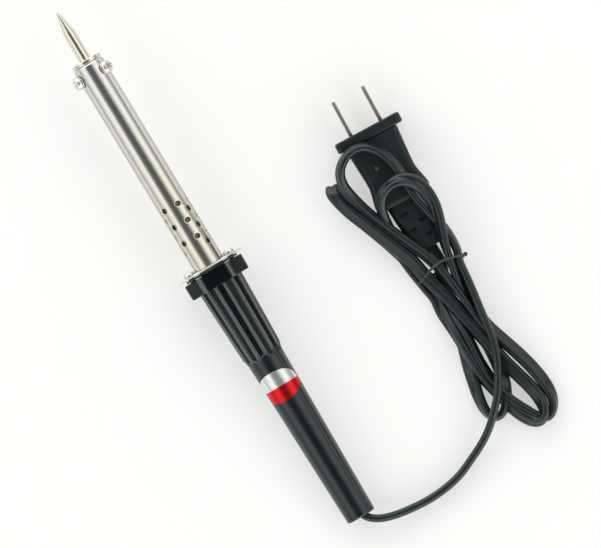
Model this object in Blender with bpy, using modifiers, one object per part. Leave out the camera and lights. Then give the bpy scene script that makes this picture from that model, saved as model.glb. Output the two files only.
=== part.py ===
"""Pencil soldering iron with a two-blade plug, its flat cord folded into a hank.

Metres, +Z up.  The iron lies along X with its tip at -X, resting on the rim of its
flange plate and on the end of its handle.  The origin is on the resting surface,
below the middle of the iron.  Turned parts are made standing on an empty whose +Z
runs from the handle's end face to the tip, so heights are measured from that face.
"""

import math

import bmesh
import bpy
from mathutils import Vector

MM = 0.001
GAP = 0.3                       # clearance between touching pieces, mm
SIDES = 48                      # sides of a turned piece

# Iron, mm.  Heights are measured up from the handle's end face.
IRON_LENGTH = 222.6
TIP_RADIUS = 2.35
TIP_CONE = 9.2
TIP_LENGTH = 75.0
CAP_TOP = 201.2
CAP_RADIUS = 6.05
CAP_FLANGE = 1.5
CAP_SLEEVE_RADIUS = 5.2
CAP_SLEEVE_LENGTH = 12.5
BARREL_RADIUS = 6.1
BARREL_WALL = 0.5
BARREL_TOP = CAP_TOP - CAP_FLANGE - GAP
BARREL_BOTTOM = 110.9
TIP_BORE = TIP_RADIUS + GAP

CLAMP_HEIGHT = 194.9
CLAMP_ANGLES = (50.0, 170.0, 290.0)
CLAMP_HEAD_RADIUS = 2.9
CLAMP_HEAD_HEIGHT = 1.9
CLAMP_SHANK_RADIUS = 1.5
CLAMP_HEAD_SEAT = 6.95
WASHER_SEAT = 6.3
WASHER_THICKNESS = 0.4
WASHER_OUTER = 2.5
WASHER_INNER = 1.85

VENT_RADIUS = 1.15
VENT_PITCH = 7.13
VENT_TOP = 136.9
VENT_ROWS = 3
VENT_COLUMN_STEP = 30.0
VENT_COLUMN_START = -12.6

CORE_OUTER = 3.1
CORE_TOP = 186.3
CORE_BOTTOM = 134.0
CORE_FLOOR = 1.5
WINDING_OUTER = 4.2
WINDING_TOP = 184.0
WINDING_BOTTOM = 138.0
WRAP_INNER = 4.5
WRAP_OUTER = 5.0
WRAP_TOP = 185.5
WRAP_BOTTOM = 113.5
BUSHING_RADIUS = 5.0
BUSHING_TOP = 113.0
BUSHING_BOTTOM = 100.5

PLATE_RADIUS = 13.45
PLATE_TOP = 110.6
PLATE_THICKNESS = 0.6
GASKET_RADIUS = 11.0
GASKET_TOP = PLATE_TOP - PLATE_THICKNESS - GAP
GASKET_THICKNESS = 0.8
PLATE_SCREW_OFFSET = 8.6
PLATE_SCREW_HEAD_RADIUS = 2.3
PLATE_SCREW_HEAD_HEIGHT = 1.7
PLATE_SCREW_SHANK_RADIUS = 1.2
PLATE_SCREW_LENGTH = 8.0
COLLAR_TOP = GASKET_TOP - GASKET_THICKNESS - GAP
COLLAR_HEIGHT = 6.2
COLLAR_CORNER_RADIUS = 12.9
COLLAR_ROUND = 1.6
COLLAR_RIM = 0.5
PLATE_CUT_TOP = 120.0           # reach of the cutters through plate, gasket and collar
PLATE_CUT_BOTTOM = 105.0
SCREW_CUT_BOTTOM = 101.0

GRIP_TOP = COLLAR_TOP - COLLAR_HEIGHT
GRIP_TOP_RADIUS = 9.05
GRIP_BOTTOM = 73.9
GRIP_BOTTOM_RADIUS = 8.05
NECK_HEIGHT = 70.7
NECK_RADIUS = 7.25
HANDLE_END_RADIUS = 5.8
HANDLE_EDGE = 0.8
FLUTES = 16
FLUTE_RADIUS = 1.25
FRONT_BORE = 5.4
CAVITY_RADIUS = 4.0
CAVITY_TOP = 92.0
CAVITY_BOTTOM = 8.0
MOUTH_RADIUS = 3.3

LABEL_CENTRE_HEIGHT = 58.2
LABEL_HALF_HEIGHT = 6.0
LABEL_HALF_WIDTH = 10.2
LABEL_ANGLE = -15.0
LABEL_GAP = 0.12
LABEL_THICKNESS = 0.1

LEAD_RADIUS = 0.6
LEAD_OFFSET = 1.8
LEAD_TOP = 133.0
SPLICE_TOP = 79.7
SPLICE_BOTTOM = 68.3
SPLICE_RADIUS = 1.5
SLEEVE_TOP = 99.5
SLEEVE_BOTTOM = 84.0
SLEEVE_OUTER = 1.35
SLEEVE_INNER = 0.95
CORE_WIRE_RADIUS = 0.9
CORE_WIRE_BOTTOM = 60.0
CORD_TAIL_BOTTOM = 3.7
CLIP_TOP = 30.0
CLIP_BOTTOM = 22.0
CLIP_RADIUS = 3.65

# Resting attitude: the plate's rear rim and the handle's end touch the surface.
PLATE_REAR = PLATE_TOP - PLATE_THICKNESS
TILT = math.atan((PLATE_RADIUS - HANDLE_END_RADIUS) / PLATE_REAR)
END_HEIGHT = HANDLE_END_RADIUS * math.cos(TILT)
END_FACE_RADIUS = HANDLE_END_RADIUS - HANDLE_EDGE
END_X = (IRON_LENGTH * math.cos(TILT) - END_FACE_RADIUS * math.sin(TILT)) / 2.0

# Cord, mm.  It is a flat twin cord; its free stretches are round tubes here.
CORD_WIDTH = 5.2
CORD_THICKNESS = 2.8
TUBE_RADIUS = 1.75
TUBE_STEP = 5.0
LEAD_ROUTE = (
    (108.4, 0.2, 5.9), (110.3, 0.5, 5.8), (111.8, 1.3, 5.7), (113.3, 2.8, 5.5), (114.9, 5.2, 5.1),
    (116.1, 8.2, 4.4), (117.0, 11.6, 3.5), (118.0, 18.0, 2.4), (118.5, 25.5, 1.9), (118.0, 33.0, 1.8),
    (116.5, 40.0, 1.8), (114.0, 46.0, 1.9), (111.5, 51.5, 3.0), (109.8, 54.6, 4.4),
)
OUTER_LOOP_ROUTE = (
    (43.3, 82.8, 7.0), (40.5, 83.0, 7.4), (35.0, 83.0, 8.6), (29.0, 81.8, 10.0), (21.5, 80.0, 11.7),
    (15.5, 79.0, 12.9), (9.0, 79.0, 13.9), (3.0, 79.0, 14.9), (-3.0, 77.0, 15.9), (-7.0, 72.5, 16.8),
    (-8.5, 67.5, 16.8), (-7.2, 62.8, 13.8), (-4.6, 60.2, 11.6),
)
INNER_LOOP_ROUTE = (
    (20.0, 66.2, 9.2), (17.6, 66.6, 11.8), (15.0, 67.2, 13.4), (12.4, 68.6, 14.4), (10.0, 71.9, 15.8),
    (9.8, 76.5, 17.2), (12.5, 81.0, 17.5), (17.0, 84.0, 16.4), (23.0, 84.6, 15.0), (29.5, 83.0, 14.0),
    (36.0, 80.6, 11.8), (40.6, 78.6, 9.6), (42.7, 77.8, 8.5),
)
PLUG_LEAD_ROUTE = ((37.7, 75.0, 4.0), (40.3, 75.0, 3.8), (43.2, 75.2, 3.6))

HANK_HEIGHT = 9.5
HANK_BOTTOM = 0.1
HANK_OUTLINE = (
    (-3.4, 53.6), (0.6, 49.9), (8.5, 50.3), (16.0, 52.8), (24.0, 55.8), (31.5, 58.3), (38.5, 60.8),
    (47.0, 62.4), (58.0, 63.6), (68.5, 63.6), (78.5, 62.6), (88.5, 58.7), (96.0, 57.3), (103.0, 57.9),
    (107.8, 61.2), (111.0, 66.6), (116.6, 71.0), (118.2, 77.5), (115.0, 84.0), (106.0, 88.6),
    (96.0, 88.6), (88.0, 86.8), (80.5, 82.6), (72.5, 81.2), (60.0, 83.8), (50.0, 85.2), (44.2, 85.4),
    (43.8, 80.0), (43.8, 73.0), (38.6, 68.2), (31.0, 67.0), (23.0, 64.4), (16.0, 62.4), (8.0, 60.6),
    (0.0, 58.0),
)

TIE_X = 46.4
TIE_RADIUS = 0.6
TIE_Y = (61.2, 86.6)
TIE_TOP = 10.5
TIE_CORNER = 2.2
TIE_CHANNEL_WIDTH = 2.2
TIE_CHANNEL_TOP = 2.0
TIE_CHANNEL_LENGTH = 60.0

# Plug, mm.  Heights are measured from its front face towards the blades.
PLUG_FACE = (-13.9, 77.3, 7.5)
PLUG_YAW = -2.8
PLUG_PITCH = 4.2
FLANGE_HALF_WIDTH = 13.6
FLANGE_HALF_THICKNESS = 7.2
PLUG_SECTIONS = (                # height, half thickness, half width, corner radius
    (0.0, FLANGE_HALF_THICKNESS - 0.5, FLANGE_HALF_WIDTH - 0.5, 1.6),
    (-0.5, FLANGE_HALF_THICKNESS, FLANGE_HALF_WIDTH, 2.0),
    (-3.6, FLANGE_HALF_THICKNESS, FLANGE_HALF_WIDTH, 2.0),
    (-4.0, FLANGE_HALF_THICKNESS - 0.4, FLANGE_HALF_WIDTH - 0.4, 1.7),
    (-4.3, 6.1, 11.0, 2.6),
    (-11.0, 5.8, 10.3, 2.6),
    (-18.0, 5.4, 9.8, 2.6),
    (-22.5, 5.2, 10.0, 2.6),
    (-27.0, 5.0, 11.1, 2.6),
    (-29.3, 4.9, 11.3, 2.8),
    (-30.9, 4.4, 9.4, 3.2),
)
RELIEF_SECTIONS = (
    (-31.2, 4.1, 7.6, 2.4),
    (-38.0, 3.9, 7.0, 2.4),
    (-45.0, 3.5, 6.0, 2.4),
    (-50.2, 3.3, 5.7, 2.4),
    (-51.0, 2.9, 5.2, 2.2),
)
RELIEF_SLOTS = (                 # height, side, distance of the cut's middle from the axis
    (-35.5, -1.0, 3.9),
    (-40.1, 1.0, 3.9),
    (-42.3, -1.0, 3.5),
    (-46.2, 1.0, 3.5),
)
SLOT_OFFSET = 3.0
SLOT_LENGTH = 3.6
SLOT_WIDTH = 1.3
SLOT_DEPTH = 1.3
BLADE_SPACING = 12.7
BLADE_LENGTH = 15.6
BLADE_WIDTH = 6.35
BLADE_THICKNESS = 1.5
BLADE_HOLE_RADIUS = 1.55
BLADE_HOLE_FROM_TIP = 4.0
BLADE_CHAMFER = 0.45


def clear_scene():
    """Empty the file that the script runs in."""
    for obj in list(bpy.data.objects):
        bpy.data.objects.remove(obj, do_unlink=True)
    for coll in list(bpy.data.collections):
        bpy.data.collections.remove(coll)


def new_collection(name):
    """A collection linked to the scene."""
    coll = bpy.data.collections.new(name)
    bpy.context.scene.collection.children.link(coll)
    return coll


clear_scene()
PARTS = new_collection("soldering_iron")
CUTTERS = new_collection("cutters")


# Materials

def material(name, colour, roughness, metallic):
    """Principled material with a plain colour."""
    mat = bpy.data.materials.new(name)
    mat.use_nodes = True
    shader = mat.node_tree.nodes["Principled BSDF"]
    shader.inputs["Base Color"].default_value = (*colour, 1.0)
    shader.inputs["Roughness"].default_value = roughness
    shader.inputs["Metallic"].default_value = metallic
    return mat


def black_plastic():
    """Glossy black moulding of the handle."""
    return material("black_plastic", (0.02, 0.024, 0.025), 0.32, 0.0)


def black_vinyl():
    """Soft black jacket of the cord and the plug."""
    return material("black_vinyl", (0.022, 0.028, 0.029), 0.5, 0.0)


def nickel():
    """Polished nickel plate of the barrel and the cap."""
    return material("nickel", (0.66, 0.65, 0.6), 0.22, 1.0)


def tip_plate():
    """Warm bright plating of the tip."""
    return material("tip_plate", (0.78, 0.76, 0.66), 0.2, 1.0)


def screw_steel():
    """Zinc plated screws and washers."""
    return material("screw_steel", (0.6, 0.59, 0.52), 0.32, 1.0)


def plain_steel():
    """Bare steel of the heater core and the splices."""
    return material("plain_steel", (0.45, 0.44, 0.42), 0.45, 1.0)


def mica():
    """Brown mica sheet."""
    return material("mica", (0.2, 0.15, 0.08), 0.6, 0.0)


def ceramic():
    """Off-white ceramic."""
    return material("ceramic", (0.72, 0.69, 0.62), 0.5, 0.0)


def gasket_board():
    """Dark fibre board."""
    return material("gasket_board", (0.03, 0.03, 0.03), 0.8, 0.0)


def foil():
    """Silver and red foil of the label."""
    return material("foil", (0.72, 0.74, 0.74), 0.3, 0.8)


def glass_braid():
    """White glass sleeve on a heater lead."""
    return material("glass_braid", (0.75, 0.73, 0.66), 0.8, 0.0)


def plug_brass():
    """Nickel plated brass of the blades."""
    return material("plug_brass", (0.6, 0.6, 0.5), 0.3, 1.0)


def tie_wire():
    """Black coated wire of the tie."""
    return material("tie_wire", (0.03, 0.035, 0.035), 0.6, 0.0)


# Making and placing objects

def place(obj, mat, parent=None, collection=PARTS):
    """Link an object, give it its material and parent it."""
    collection.objects.link(obj)
    if mat is not None:
        obj.data.materials.append(mat)
    if parent is not None:
        obj.parent = parent
    return obj


def mesh_object(name, bm, mat, parent=None, smooth=True):
    """Turn a bmesh into a placed object, its sharp edges kept."""
    bmesh.ops.recalc_face_normals(bm, faces=bm.faces)
    mesh = bpy.data.meshes.new(name)
    bm.to_mesh(mesh)
    bm.free()
    if smooth:
        mesh.shade_smooth()
        mesh.set_sharp_from_angle(angle=math.radians(35.0))
    return place(bpy.data.objects.new(name, mesh), mat, parent)


def empty(name, location, rotation, parent=None):
    """A reference frame for pieces made upright."""
    obj = bpy.data.objects.new(name, None)
    PARTS.objects.link(obj)
    obj.location = Vector(location) * MM
    obj.rotation_euler = [math.radians(angle) for angle in rotation]
    obj.parent = parent
    return obj


def turned(name, profile, mat, parent=None, steps=SIDES, closed=False, collection=PARTS):
    """Turn a profile of (radius, height) points, in mm, listed from top to bottom."""
    bm = bmesh.new()
    verts = [bm.verts.new((radius * MM, 0.0, height * MM)) for radius, height in profile]
    for first, second in zip(verts, verts[1:]):
        bm.edges.new((first, second))
    if closed:
        bm.edges.new((verts[-1], verts[0]))
    mesh = bpy.data.meshes.new(name)
    bm.to_mesh(mesh)
    bm.free()
    obj = place(bpy.data.objects.new(name, mesh), mat, parent, collection)
    screw = obj.modifiers.new("turn", "SCREW")
    screw.axis = "Z"
    screw.steps = steps
    screw.render_steps = steps
    screw.use_merge_vertices = True
    screw.merge_threshold = 0.000001
    screw.use_smooth_shade = True
    return obj


def tube_profile(outer, inner, top, bottom):
    """Closed profile of a plain tube."""
    return [(outer, top), (outer, bottom), (inner, bottom), (inner, top)]


def as_cutter(obj):
    """Keep an object as a Boolean's guide only."""
    for coll in list(obj.users_collection):
        coll.objects.unlink(obj)
    CUTTERS.objects.link(obj)
    obj.hide_render = True
    obj.display_type = "WIRE"
    return obj


def boolean(obj, cutter, operation):
    """Cut or join with the exact solver."""
    mod = obj.modifiers.new(operation.lower(), "BOOLEAN")
    mod.operation = operation
    mod.solver = "EXACT"
    mod.object = cutter
    return mod


def radial_cutters(name, placements, radius, inner, outer, parent, sides=12):
    """One object of round cutters that point out from the axis."""
    bm = bmesh.new()
    for height, angle in placements:
        made = bmesh.ops.create_cone(
            bm, cap_ends=True, segments=sides, radius1=radius * MM, radius2=radius * MM,
            depth=(outer - inner) * MM,
        )
        turn = math.radians(angle)
        middle = (outer + inner) / 2.0
        centre = Vector((middle * math.cos(turn), middle * math.sin(turn), height)) * MM
        matrix = Vector((math.cos(turn), math.sin(turn), 0.0)).to_track_quat("Z", "Y").to_matrix()
        bmesh.ops.rotate(bm, verts=made["verts"], cent=(0.0, 0.0, 0.0), matrix=matrix)
        bmesh.ops.translate(bm, verts=made["verts"], vec=centre)
    return as_cutter(mesh_object(name, bm, None, parent, smooth=False))


def pan_screw(name, parent, head_radius, head_height, shank_radius, shank_length, mat):
    """Pan head screw standing on its seat at height 0, with a cross recess."""
    profile = [
        (0.0, head_height),
        (head_radius * 0.55, head_height * 0.96),
        (head_radius * 0.86, head_height * 0.72),
        (head_radius, head_height * 0.36),
        (head_radius, 0.0),
        (shank_radius, 0.0),
        (shank_radius, -shank_length + 0.4),
        (shank_radius - 0.4, -shank_length),
        (0.0, -shank_length),
    ]
    screw = turned(name, profile, mat, parent, steps=24)
    for index, turn in enumerate((0.0, 90.0)):
        bm = bmesh.new()
        made = bmesh.ops.create_cube(bm, size=1.0)
        size = Vector((head_radius * 1.15, head_radius * 0.26, head_height * 1.2)) * MM
        bmesh.ops.scale(bm, verts=made["verts"], vec=size)
        slot = as_cutter(mesh_object(f"{name}_slot_{index + 1}", bm, None, parent, smooth=False))
        slot.location = (0.0, 0.0, head_height * MM)
        slot.rotation_euler = (0.0, 0.0, math.radians(turn))
        boolean(screw, slot, "DIFFERENCE")
    return screw


def smooth_points(route, step):
    """Points about step mm apart on a smooth curve through a route."""
    points = [Vector(point) for point in route]
    ends = [points[0] * 2.0 - points[1]] + points + [points[-1] * 2.0 - points[-2]]
    line = []
    for before, first, last, after in zip(ends, ends[1:], ends[2:], ends[3:]):
        count = max(1, round((last - first).length / 1.0))
        for part in range(count):
            t = part / count
            slope_a = (last - before) * 0.5
            slope_b = (after - first) * 0.5
            line.append(
                first * (2 * t**3 - 3 * t**2 + 1) + slope_a * (t**3 - 2 * t**2 + t)
                + last * (-2 * t**3 + 3 * t**2) + slope_b * (t**3 - t**2)
            )
    line.append(points[-1])
    total = sum((b - a).length for a, b in zip(line, line[1:]))
    spacing = total / max(2, round(total / step))
    out = [line[0]]
    run = 0.0
    for a, b in zip(line, line[1:]):
        run += (b - a).length
        if run >= spacing * len(out) and len(out) < round(total / spacing):
            out.append(b)
    out.append(line[-1])
    return out


def wire(name, points, radius, mat, parent=None, cyclic=False):
    """Round wire or tube along points in mm."""
    data = bpy.data.curves.new(name, "CURVE")
    data.dimensions = "3D"
    spline = data.splines.new("POLY")
    spline.points.add(len(points) - 1)
    for target, point in zip(spline.points, points):
        target.co = (*(Vector(point) * MM), 1.0)
    spline.use_cyclic_u = cyclic
    data.bevel_depth = radius * MM
    data.bevel_resolution = 2
    data.use_fill_caps = not cyclic
    data.resolution_u = 1
    data.render_resolution_u = 0
    return place(bpy.data.objects.new(name, data), mat, parent)


def rounded_section(half_x, half_y, corner, per_corner=4):
    """Points round a rectangle with round corners, in order."""
    points = []
    for quarter in range(4):
        start = quarter * math.pi / 2.0
        sign_x = 1.0 if quarter in (0, 3) else -1.0
        sign_y = 1.0 if quarter in (0, 1) else -1.0
        centre = (sign_x * (half_x - corner), sign_y * (half_y - corner))
        for part in range(per_corner + 1):
            angle = start + part / per_corner * math.pi / 2.0
            points.append((centre[0] + corner * math.cos(angle), centre[1] + corner * math.sin(angle)))
    return points


def loft(name, sections, mat, parent):
    """Closed body through rounded sections: (height, half thickness, half width, corner)."""
    bm = bmesh.new()
    rings = []
    for height, half_x, half_y, corner in sections:
        outline = rounded_section(half_x, half_y, corner)
        rings.append([bm.verts.new((x * MM, y * MM, height * MM)) for x, y in outline])
    count = len(rings[0])
    for upper, lower in zip(rings, rings[1:]):
        for index in range(count):
            after = (index + 1) % count
            bm.faces.new((upper[index], lower[index], lower[after], upper[after]))
    bm.faces.new(rings[0])
    bm.faces.new(list(reversed(rings[-1])))
    return mesh_object(name, bm, mat, parent)


# Hot end

def make_tip(parent):
    """Plated rod with a pencil point."""
    rod = IRON_LENGTH - TIP_CONE
    bottom = IRON_LENGTH - TIP_LENGTH
    profile = [
        (0.0, IRON_LENGTH),
        (0.35, IRON_LENGTH - 0.35),
        (TIP_RADIUS - 0.15, rod + 0.3),
        (TIP_RADIUS, rod - 0.5),
        (TIP_RADIUS, bottom + 0.4),
        (TIP_RADIUS - 0.4, bottom),
        (0.0, bottom),
    ]
    return turned("tip", profile, tip_plate(), parent, steps=32)


def make_front_cap(parent):
    """Flanged bush with radial holes for the clamp screws."""
    flange_bottom = CAP_TOP - CAP_FLANGE
    sleeve_bottom = flange_bottom - CAP_SLEEVE_LENGTH
    profile = [
        (TIP_BORE + 0.3, CAP_TOP),
        (CAP_RADIUS - 0.6, CAP_TOP),
        (CAP_RADIUS, CAP_TOP - 0.5),
        (CAP_RADIUS, flange_bottom + 0.4),
        (CAP_RADIUS - 0.4, flange_bottom),
        (CAP_SLEEVE_RADIUS, flange_bottom),
        (CAP_SLEEVE_RADIUS, sleeve_bottom),
        (TIP_BORE, sleeve_bottom),
        (TIP_BORE, CAP_TOP - 0.3),
    ]
    cap = turned("front_cap", profile, nickel(), parent, closed=True)
    placements = [(CLAMP_HEIGHT, angle) for angle in CLAMP_ANGLES]
    holes = radial_cutters("cap_holes", placements, WASHER_INNER, 1.0, 8.0, parent, sides=16)
    boolean(cap, holes, "DIFFERENCE")
    return cap


def vent_placements():
    """Height and angle of each vent, columns alternating by half a pitch."""
    placements = []
    for column in range(1, 12):
        angle = VENT_COLUMN_START + VENT_COLUMN_STEP * column
        shift = 0.0 if column % 2 else VENT_PITCH / 2.0
        for row in range(VENT_ROWS):
            placements.append((VENT_TOP - shift - row * VENT_PITCH, angle))
    return placements


def make_barrel(parent):
    """Thin tube with vents behind and clamp screw holes in front."""
    inner = BARREL_RADIUS - BARREL_WALL
    profile = [
        (inner, BARREL_TOP),
        (BARREL_RADIUS - 0.25, BARREL_TOP),
        (BARREL_RADIUS, BARREL_TOP - 0.3),
        (BARREL_RADIUS, BARREL_BOTTOM),
        (inner, BARREL_BOTTOM),
    ]
    barrel = turned("barrel", profile, nickel(), parent, closed=True)
    vents = radial_cutters("vents", vent_placements(), VENT_RADIUS, 4.6, 8.0, parent)
    boolean(barrel, vents, "DIFFERENCE")
    placements = [(CLAMP_HEIGHT, angle) for angle in CLAMP_ANGLES]
    holes = radial_cutters("barrel_holes", placements, WASHER_INNER, 4.0, 8.0, parent, sides=16)
    boolean(barrel, holes, "DIFFERENCE")
    return barrel


def make_clamp_screws(parent):
    """Three screws on their own radial axes, each with its washer."""
    shank = CLAMP_HEAD_SEAT - TIP_RADIUS - GAP
    for index, angle in enumerate(CLAMP_ANGLES):
        axis = empty(f"clamp_axis_{index + 1}", (0.0, 0.0, CLAMP_HEIGHT), (0.0, 90.0, angle), parent)
        seat = empty(f"clamp_seat_{index + 1}", (0.0, 0.0, CLAMP_HEAD_SEAT), (0.0, 0.0, 20.0), axis)
        pan_screw(
            f"clamp_screw_{index + 1}", seat, CLAMP_HEAD_RADIUS, CLAMP_HEAD_HEIGHT,
            CLAMP_SHANK_RADIUS, shank, screw_steel(),
        )
        bottom = WASHER_SEAT + 0.02
        profile = tube_profile(WASHER_OUTER, WASHER_INNER, bottom + WASHER_THICKNESS, bottom)
        turned(f"clamp_washer_{index + 1}", profile, screw_steel(), axis, steps=24, closed=True)


def make_heater(parent):
    """Core cup, winding, mica wrap and rear bushing."""
    core = [
        (TIP_BORE, CORE_TOP),
        (CORE_OUTER, CORE_TOP),
        (CORE_OUTER, CORE_BOTTOM),
        (0.0, CORE_BOTTOM),
    ]
    core_inside = [(TIP_BORE, CORE_BOTTOM + CORE_FLOOR), (0.0, CORE_BOTTOM + CORE_FLOOR)]
    turned("heater_core", list(reversed(core_inside)) + core, plain_steel(), parent, steps=32)
    winding = tube_profile(WINDING_OUTER, CORE_OUTER + GAP, WINDING_TOP, WINDING_BOTTOM)
    turned("heater_winding", winding, ceramic(), parent, steps=32, closed=True)
    wrap = tube_profile(WRAP_OUTER, WRAP_INNER, WRAP_TOP, WRAP_BOTTOM)
    turned("heater_wrap", wrap, mica(), parent, steps=32, closed=True)
    bushing = turned(
        "rear_bushing",
        [(0.0, BUSHING_TOP), (BUSHING_RADIUS, BUSHING_TOP), (BUSHING_RADIUS, BUSHING_BOTTOM),
         (0.0, BUSHING_BOTTOM)],
        ceramic(), parent, steps=32,
    )
    for side in (-1.0, 1.0):
        bore = turned(
            f"bushing_bore_{'left' if side < 0 else 'right'}",
            [(0.0, BUSHING_TOP + 2.0), (LEAD_RADIUS + GAP, BUSHING_TOP + 2.0),
             (LEAD_RADIUS + GAP, BUSHING_BOTTOM - 2.0), (0.0, BUSHING_BOTTOM - 2.0)],
            None, parent, steps=12,
        )
        bore.location = (0.0, side * LEAD_OFFSET * MM, 0.0)
        boolean(bushing, as_cutter(bore), "DIFFERENCE")


# Middle

def make_flange(parent):
    """Guard plate, its gasket and the two screws that hold both to the collar."""
    plate_profile = [
        (0.0, PLATE_TOP),
        (PLATE_RADIUS - 0.15, PLATE_TOP),
        (PLATE_RADIUS, PLATE_TOP - 0.15),
        (PLATE_RADIUS, PLATE_TOP - PLATE_THICKNESS),
        (0.0, PLATE_TOP - PLATE_THICKNESS),
    ]
    plate = turned("flange_plate", plate_profile, nickel(), parent, steps=64)
    gasket_bottom = GASKET_TOP - GASKET_THICKNESS
    gasket_profile = [
        (0.0, GASKET_TOP),
        (GASKET_RADIUS, GASKET_TOP),
        (GASKET_RADIUS, gasket_bottom),
        (0.0, gasket_bottom),
    ]
    gasket = turned("flange_gasket", gasket_profile, gasket_board(), parent)
    centre_hole = turned(
        "plate_centre_hole",
        [(0.0, PLATE_CUT_TOP), (FRONT_BORE, PLATE_CUT_TOP), (FRONT_BORE, PLATE_CUT_BOTTOM),
         (0.0, PLATE_CUT_BOTTOM)],
        None, parent,
    )
    as_cutter(centre_hole)
    for piece in (plate, gasket):
        boolean(piece, centre_hole, "DIFFERENCE")
    for index, side in enumerate((-1.0, 1.0)):
        hole = turned(
            f"plate_screw_hole_{index + 1}",
            [(0.0, PLATE_CUT_TOP), (PLATE_SCREW_SHANK_RADIUS + GAP, PLATE_CUT_TOP),
             (PLATE_SCREW_SHANK_RADIUS + GAP, SCREW_CUT_BOTTOM), (0.0, SCREW_CUT_BOTTOM)],
            None, parent, steps=16,
        )
        hole.location = (0.0, side * PLATE_SCREW_OFFSET * MM, 0.0)
        as_cutter(hole)
        for piece in (plate, gasket):
            boolean(piece, hole, "DIFFERENCE")
        seat = empty(
            f"plate_screw_seat_{index + 1}", (0.0, side * PLATE_SCREW_OFFSET, PLATE_TOP + GAP),
            (0.0, 0.0, 25.0 * side), parent,
        )
        pan_screw(
            f"flange_screw_{index + 1}", seat, PLATE_SCREW_HEAD_RADIUS, PLATE_SCREW_HEAD_HEIGHT,
            PLATE_SCREW_SHANK_RADIUS, PLATE_SCREW_LENGTH, screw_steel(),
        )


# Handle

def handle_radius(height):
    """Outer radius of the plain part of the handle."""
    return HANDLE_END_RADIUS + (NECK_RADIUS - HANDLE_END_RADIUS) * height / NECK_HEIGHT


def make_collar(parent):
    """Six-sided prism with rounded corners, one flat facing up."""
    bm = bmesh.new()
    bmesh.ops.create_cone(
        bm, cap_ends=True, segments=6, radius1=COLLAR_CORNER_RADIUS * MM,
        radius2=COLLAR_CORNER_RADIUS * MM, depth=COLLAR_HEIGHT * MM,
    )
    upright = [edge for edge in bm.edges if abs(edge.verts[0].co.z - edge.verts[1].co.z) > 0.001]
    bmesh.ops.bevel(bm, geom=upright, offset=COLLAR_ROUND * MM, segments=4, affect="EDGES", profile=0.5)
    rims = [edge for edge in bm.edges if abs(edge.verts[0].co.z - edge.verts[1].co.z) < 0.0001]
    bmesh.ops.bevel(bm, geom=rims, offset=COLLAR_RIM * MM, segments=2, affect="EDGES", profile=0.5)
    middle = COLLAR_TOP - COLLAR_HEIGHT / 2.0
    turn = Vector((0.0, 1.0, 0.0)).to_track_quat("X", "Z").to_matrix()
    bmesh.ops.rotate(bm, verts=bm.verts, cent=(0.0, 0.0, 0.0), matrix=turn)
    bmesh.ops.translate(bm, verts=bm.verts, vec=(0.0, 0.0, middle * MM))
    return mesh_object("handle", bm, black_plastic(), parent)


def make_handle(parent):
    """Hollow moulding: collar, fluted grip and tapered plain part."""
    handle = make_collar(parent)
    shank_profile = [
        (0.0, GRIP_TOP + 2.0),
        (GRIP_TOP_RADIUS, GRIP_TOP + 2.0),
        (GRIP_BOTTOM_RADIUS, GRIP_BOTTOM),
        (NECK_RADIUS, NECK_HEIGHT),
        (HANDLE_END_RADIUS, HANDLE_EDGE),
        (HANDLE_END_RADIUS - 0.25, 0.22),
        (END_FACE_RADIUS, 0.0),
        (0.0, 0.0),
    ]
    shank = as_cutter(turned("handle_shank", shank_profile, None, parent))
    boolean(handle, shank, "UNION")
    flute_top = GRIP_TOP - 1.2
    bm = bmesh.new()
    for index in range(FLUTES):
        turn = 2.0 * math.pi * index / FLUTES
        made = bmesh.ops.create_cone(
            bm, cap_ends=True, segments=10, radius1=FLUTE_RADIUS * MM, radius2=FLUTE_RADIUS * MM,
            depth=(flute_top - GRIP_BOTTOM + 3.0) * MM,
        )
        middle = (flute_top + GRIP_BOTTOM - 3.0) / 2.0
        share = (middle - GRIP_BOTTOM) / (GRIP_TOP - GRIP_BOTTOM)
        reach = GRIP_BOTTOM_RADIUS + (GRIP_TOP_RADIUS - GRIP_BOTTOM_RADIUS) * share + 0.75
        lean = math.atan((GRIP_TOP_RADIUS - GRIP_BOTTOM_RADIUS) / (GRIP_TOP - GRIP_BOTTOM))
        direction = Vector((math.sin(lean) * math.cos(turn), math.sin(lean) * math.sin(turn), math.cos(lean)))
        matrix = direction.to_track_quat("Z", "Y").to_matrix()
        bmesh.ops.rotate(bm, verts=made["verts"], cent=(0.0, 0.0, 0.0), matrix=matrix)
        centre = Vector((reach * math.cos(turn), reach * math.sin(turn), middle)) * MM
        bmesh.ops.translate(bm, verts=made["verts"], vec=centre)
    boolean(handle, as_cutter(mesh_object("flutes", bm, None, parent, smooth=False)), "DIFFERENCE")
    bore_profile = [
        (0.0, COLLAR_TOP + 2.0),
        (FRONT_BORE, COLLAR_TOP + 2.0),
        (FRONT_BORE, CAVITY_TOP + 2.0),
        (CAVITY_RADIUS, CAVITY_TOP),
        (CAVITY_RADIUS, CAVITY_BOTTOM),
        (MOUTH_RADIUS, CAVITY_BOTTOM - 1.0),
        (MOUTH_RADIUS, -2.0),
        (0.0, -2.0),
    ]
    boolean(handle, as_cutter(turned("handle_bore", bore_profile, None, parent, steps=32)), "DIFFERENCE")
    for index in (1, 2):
        boolean(handle, bpy.data.objects[f"plate_screw_hole_{index}"], "DIFFERENCE")
    return handle


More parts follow.
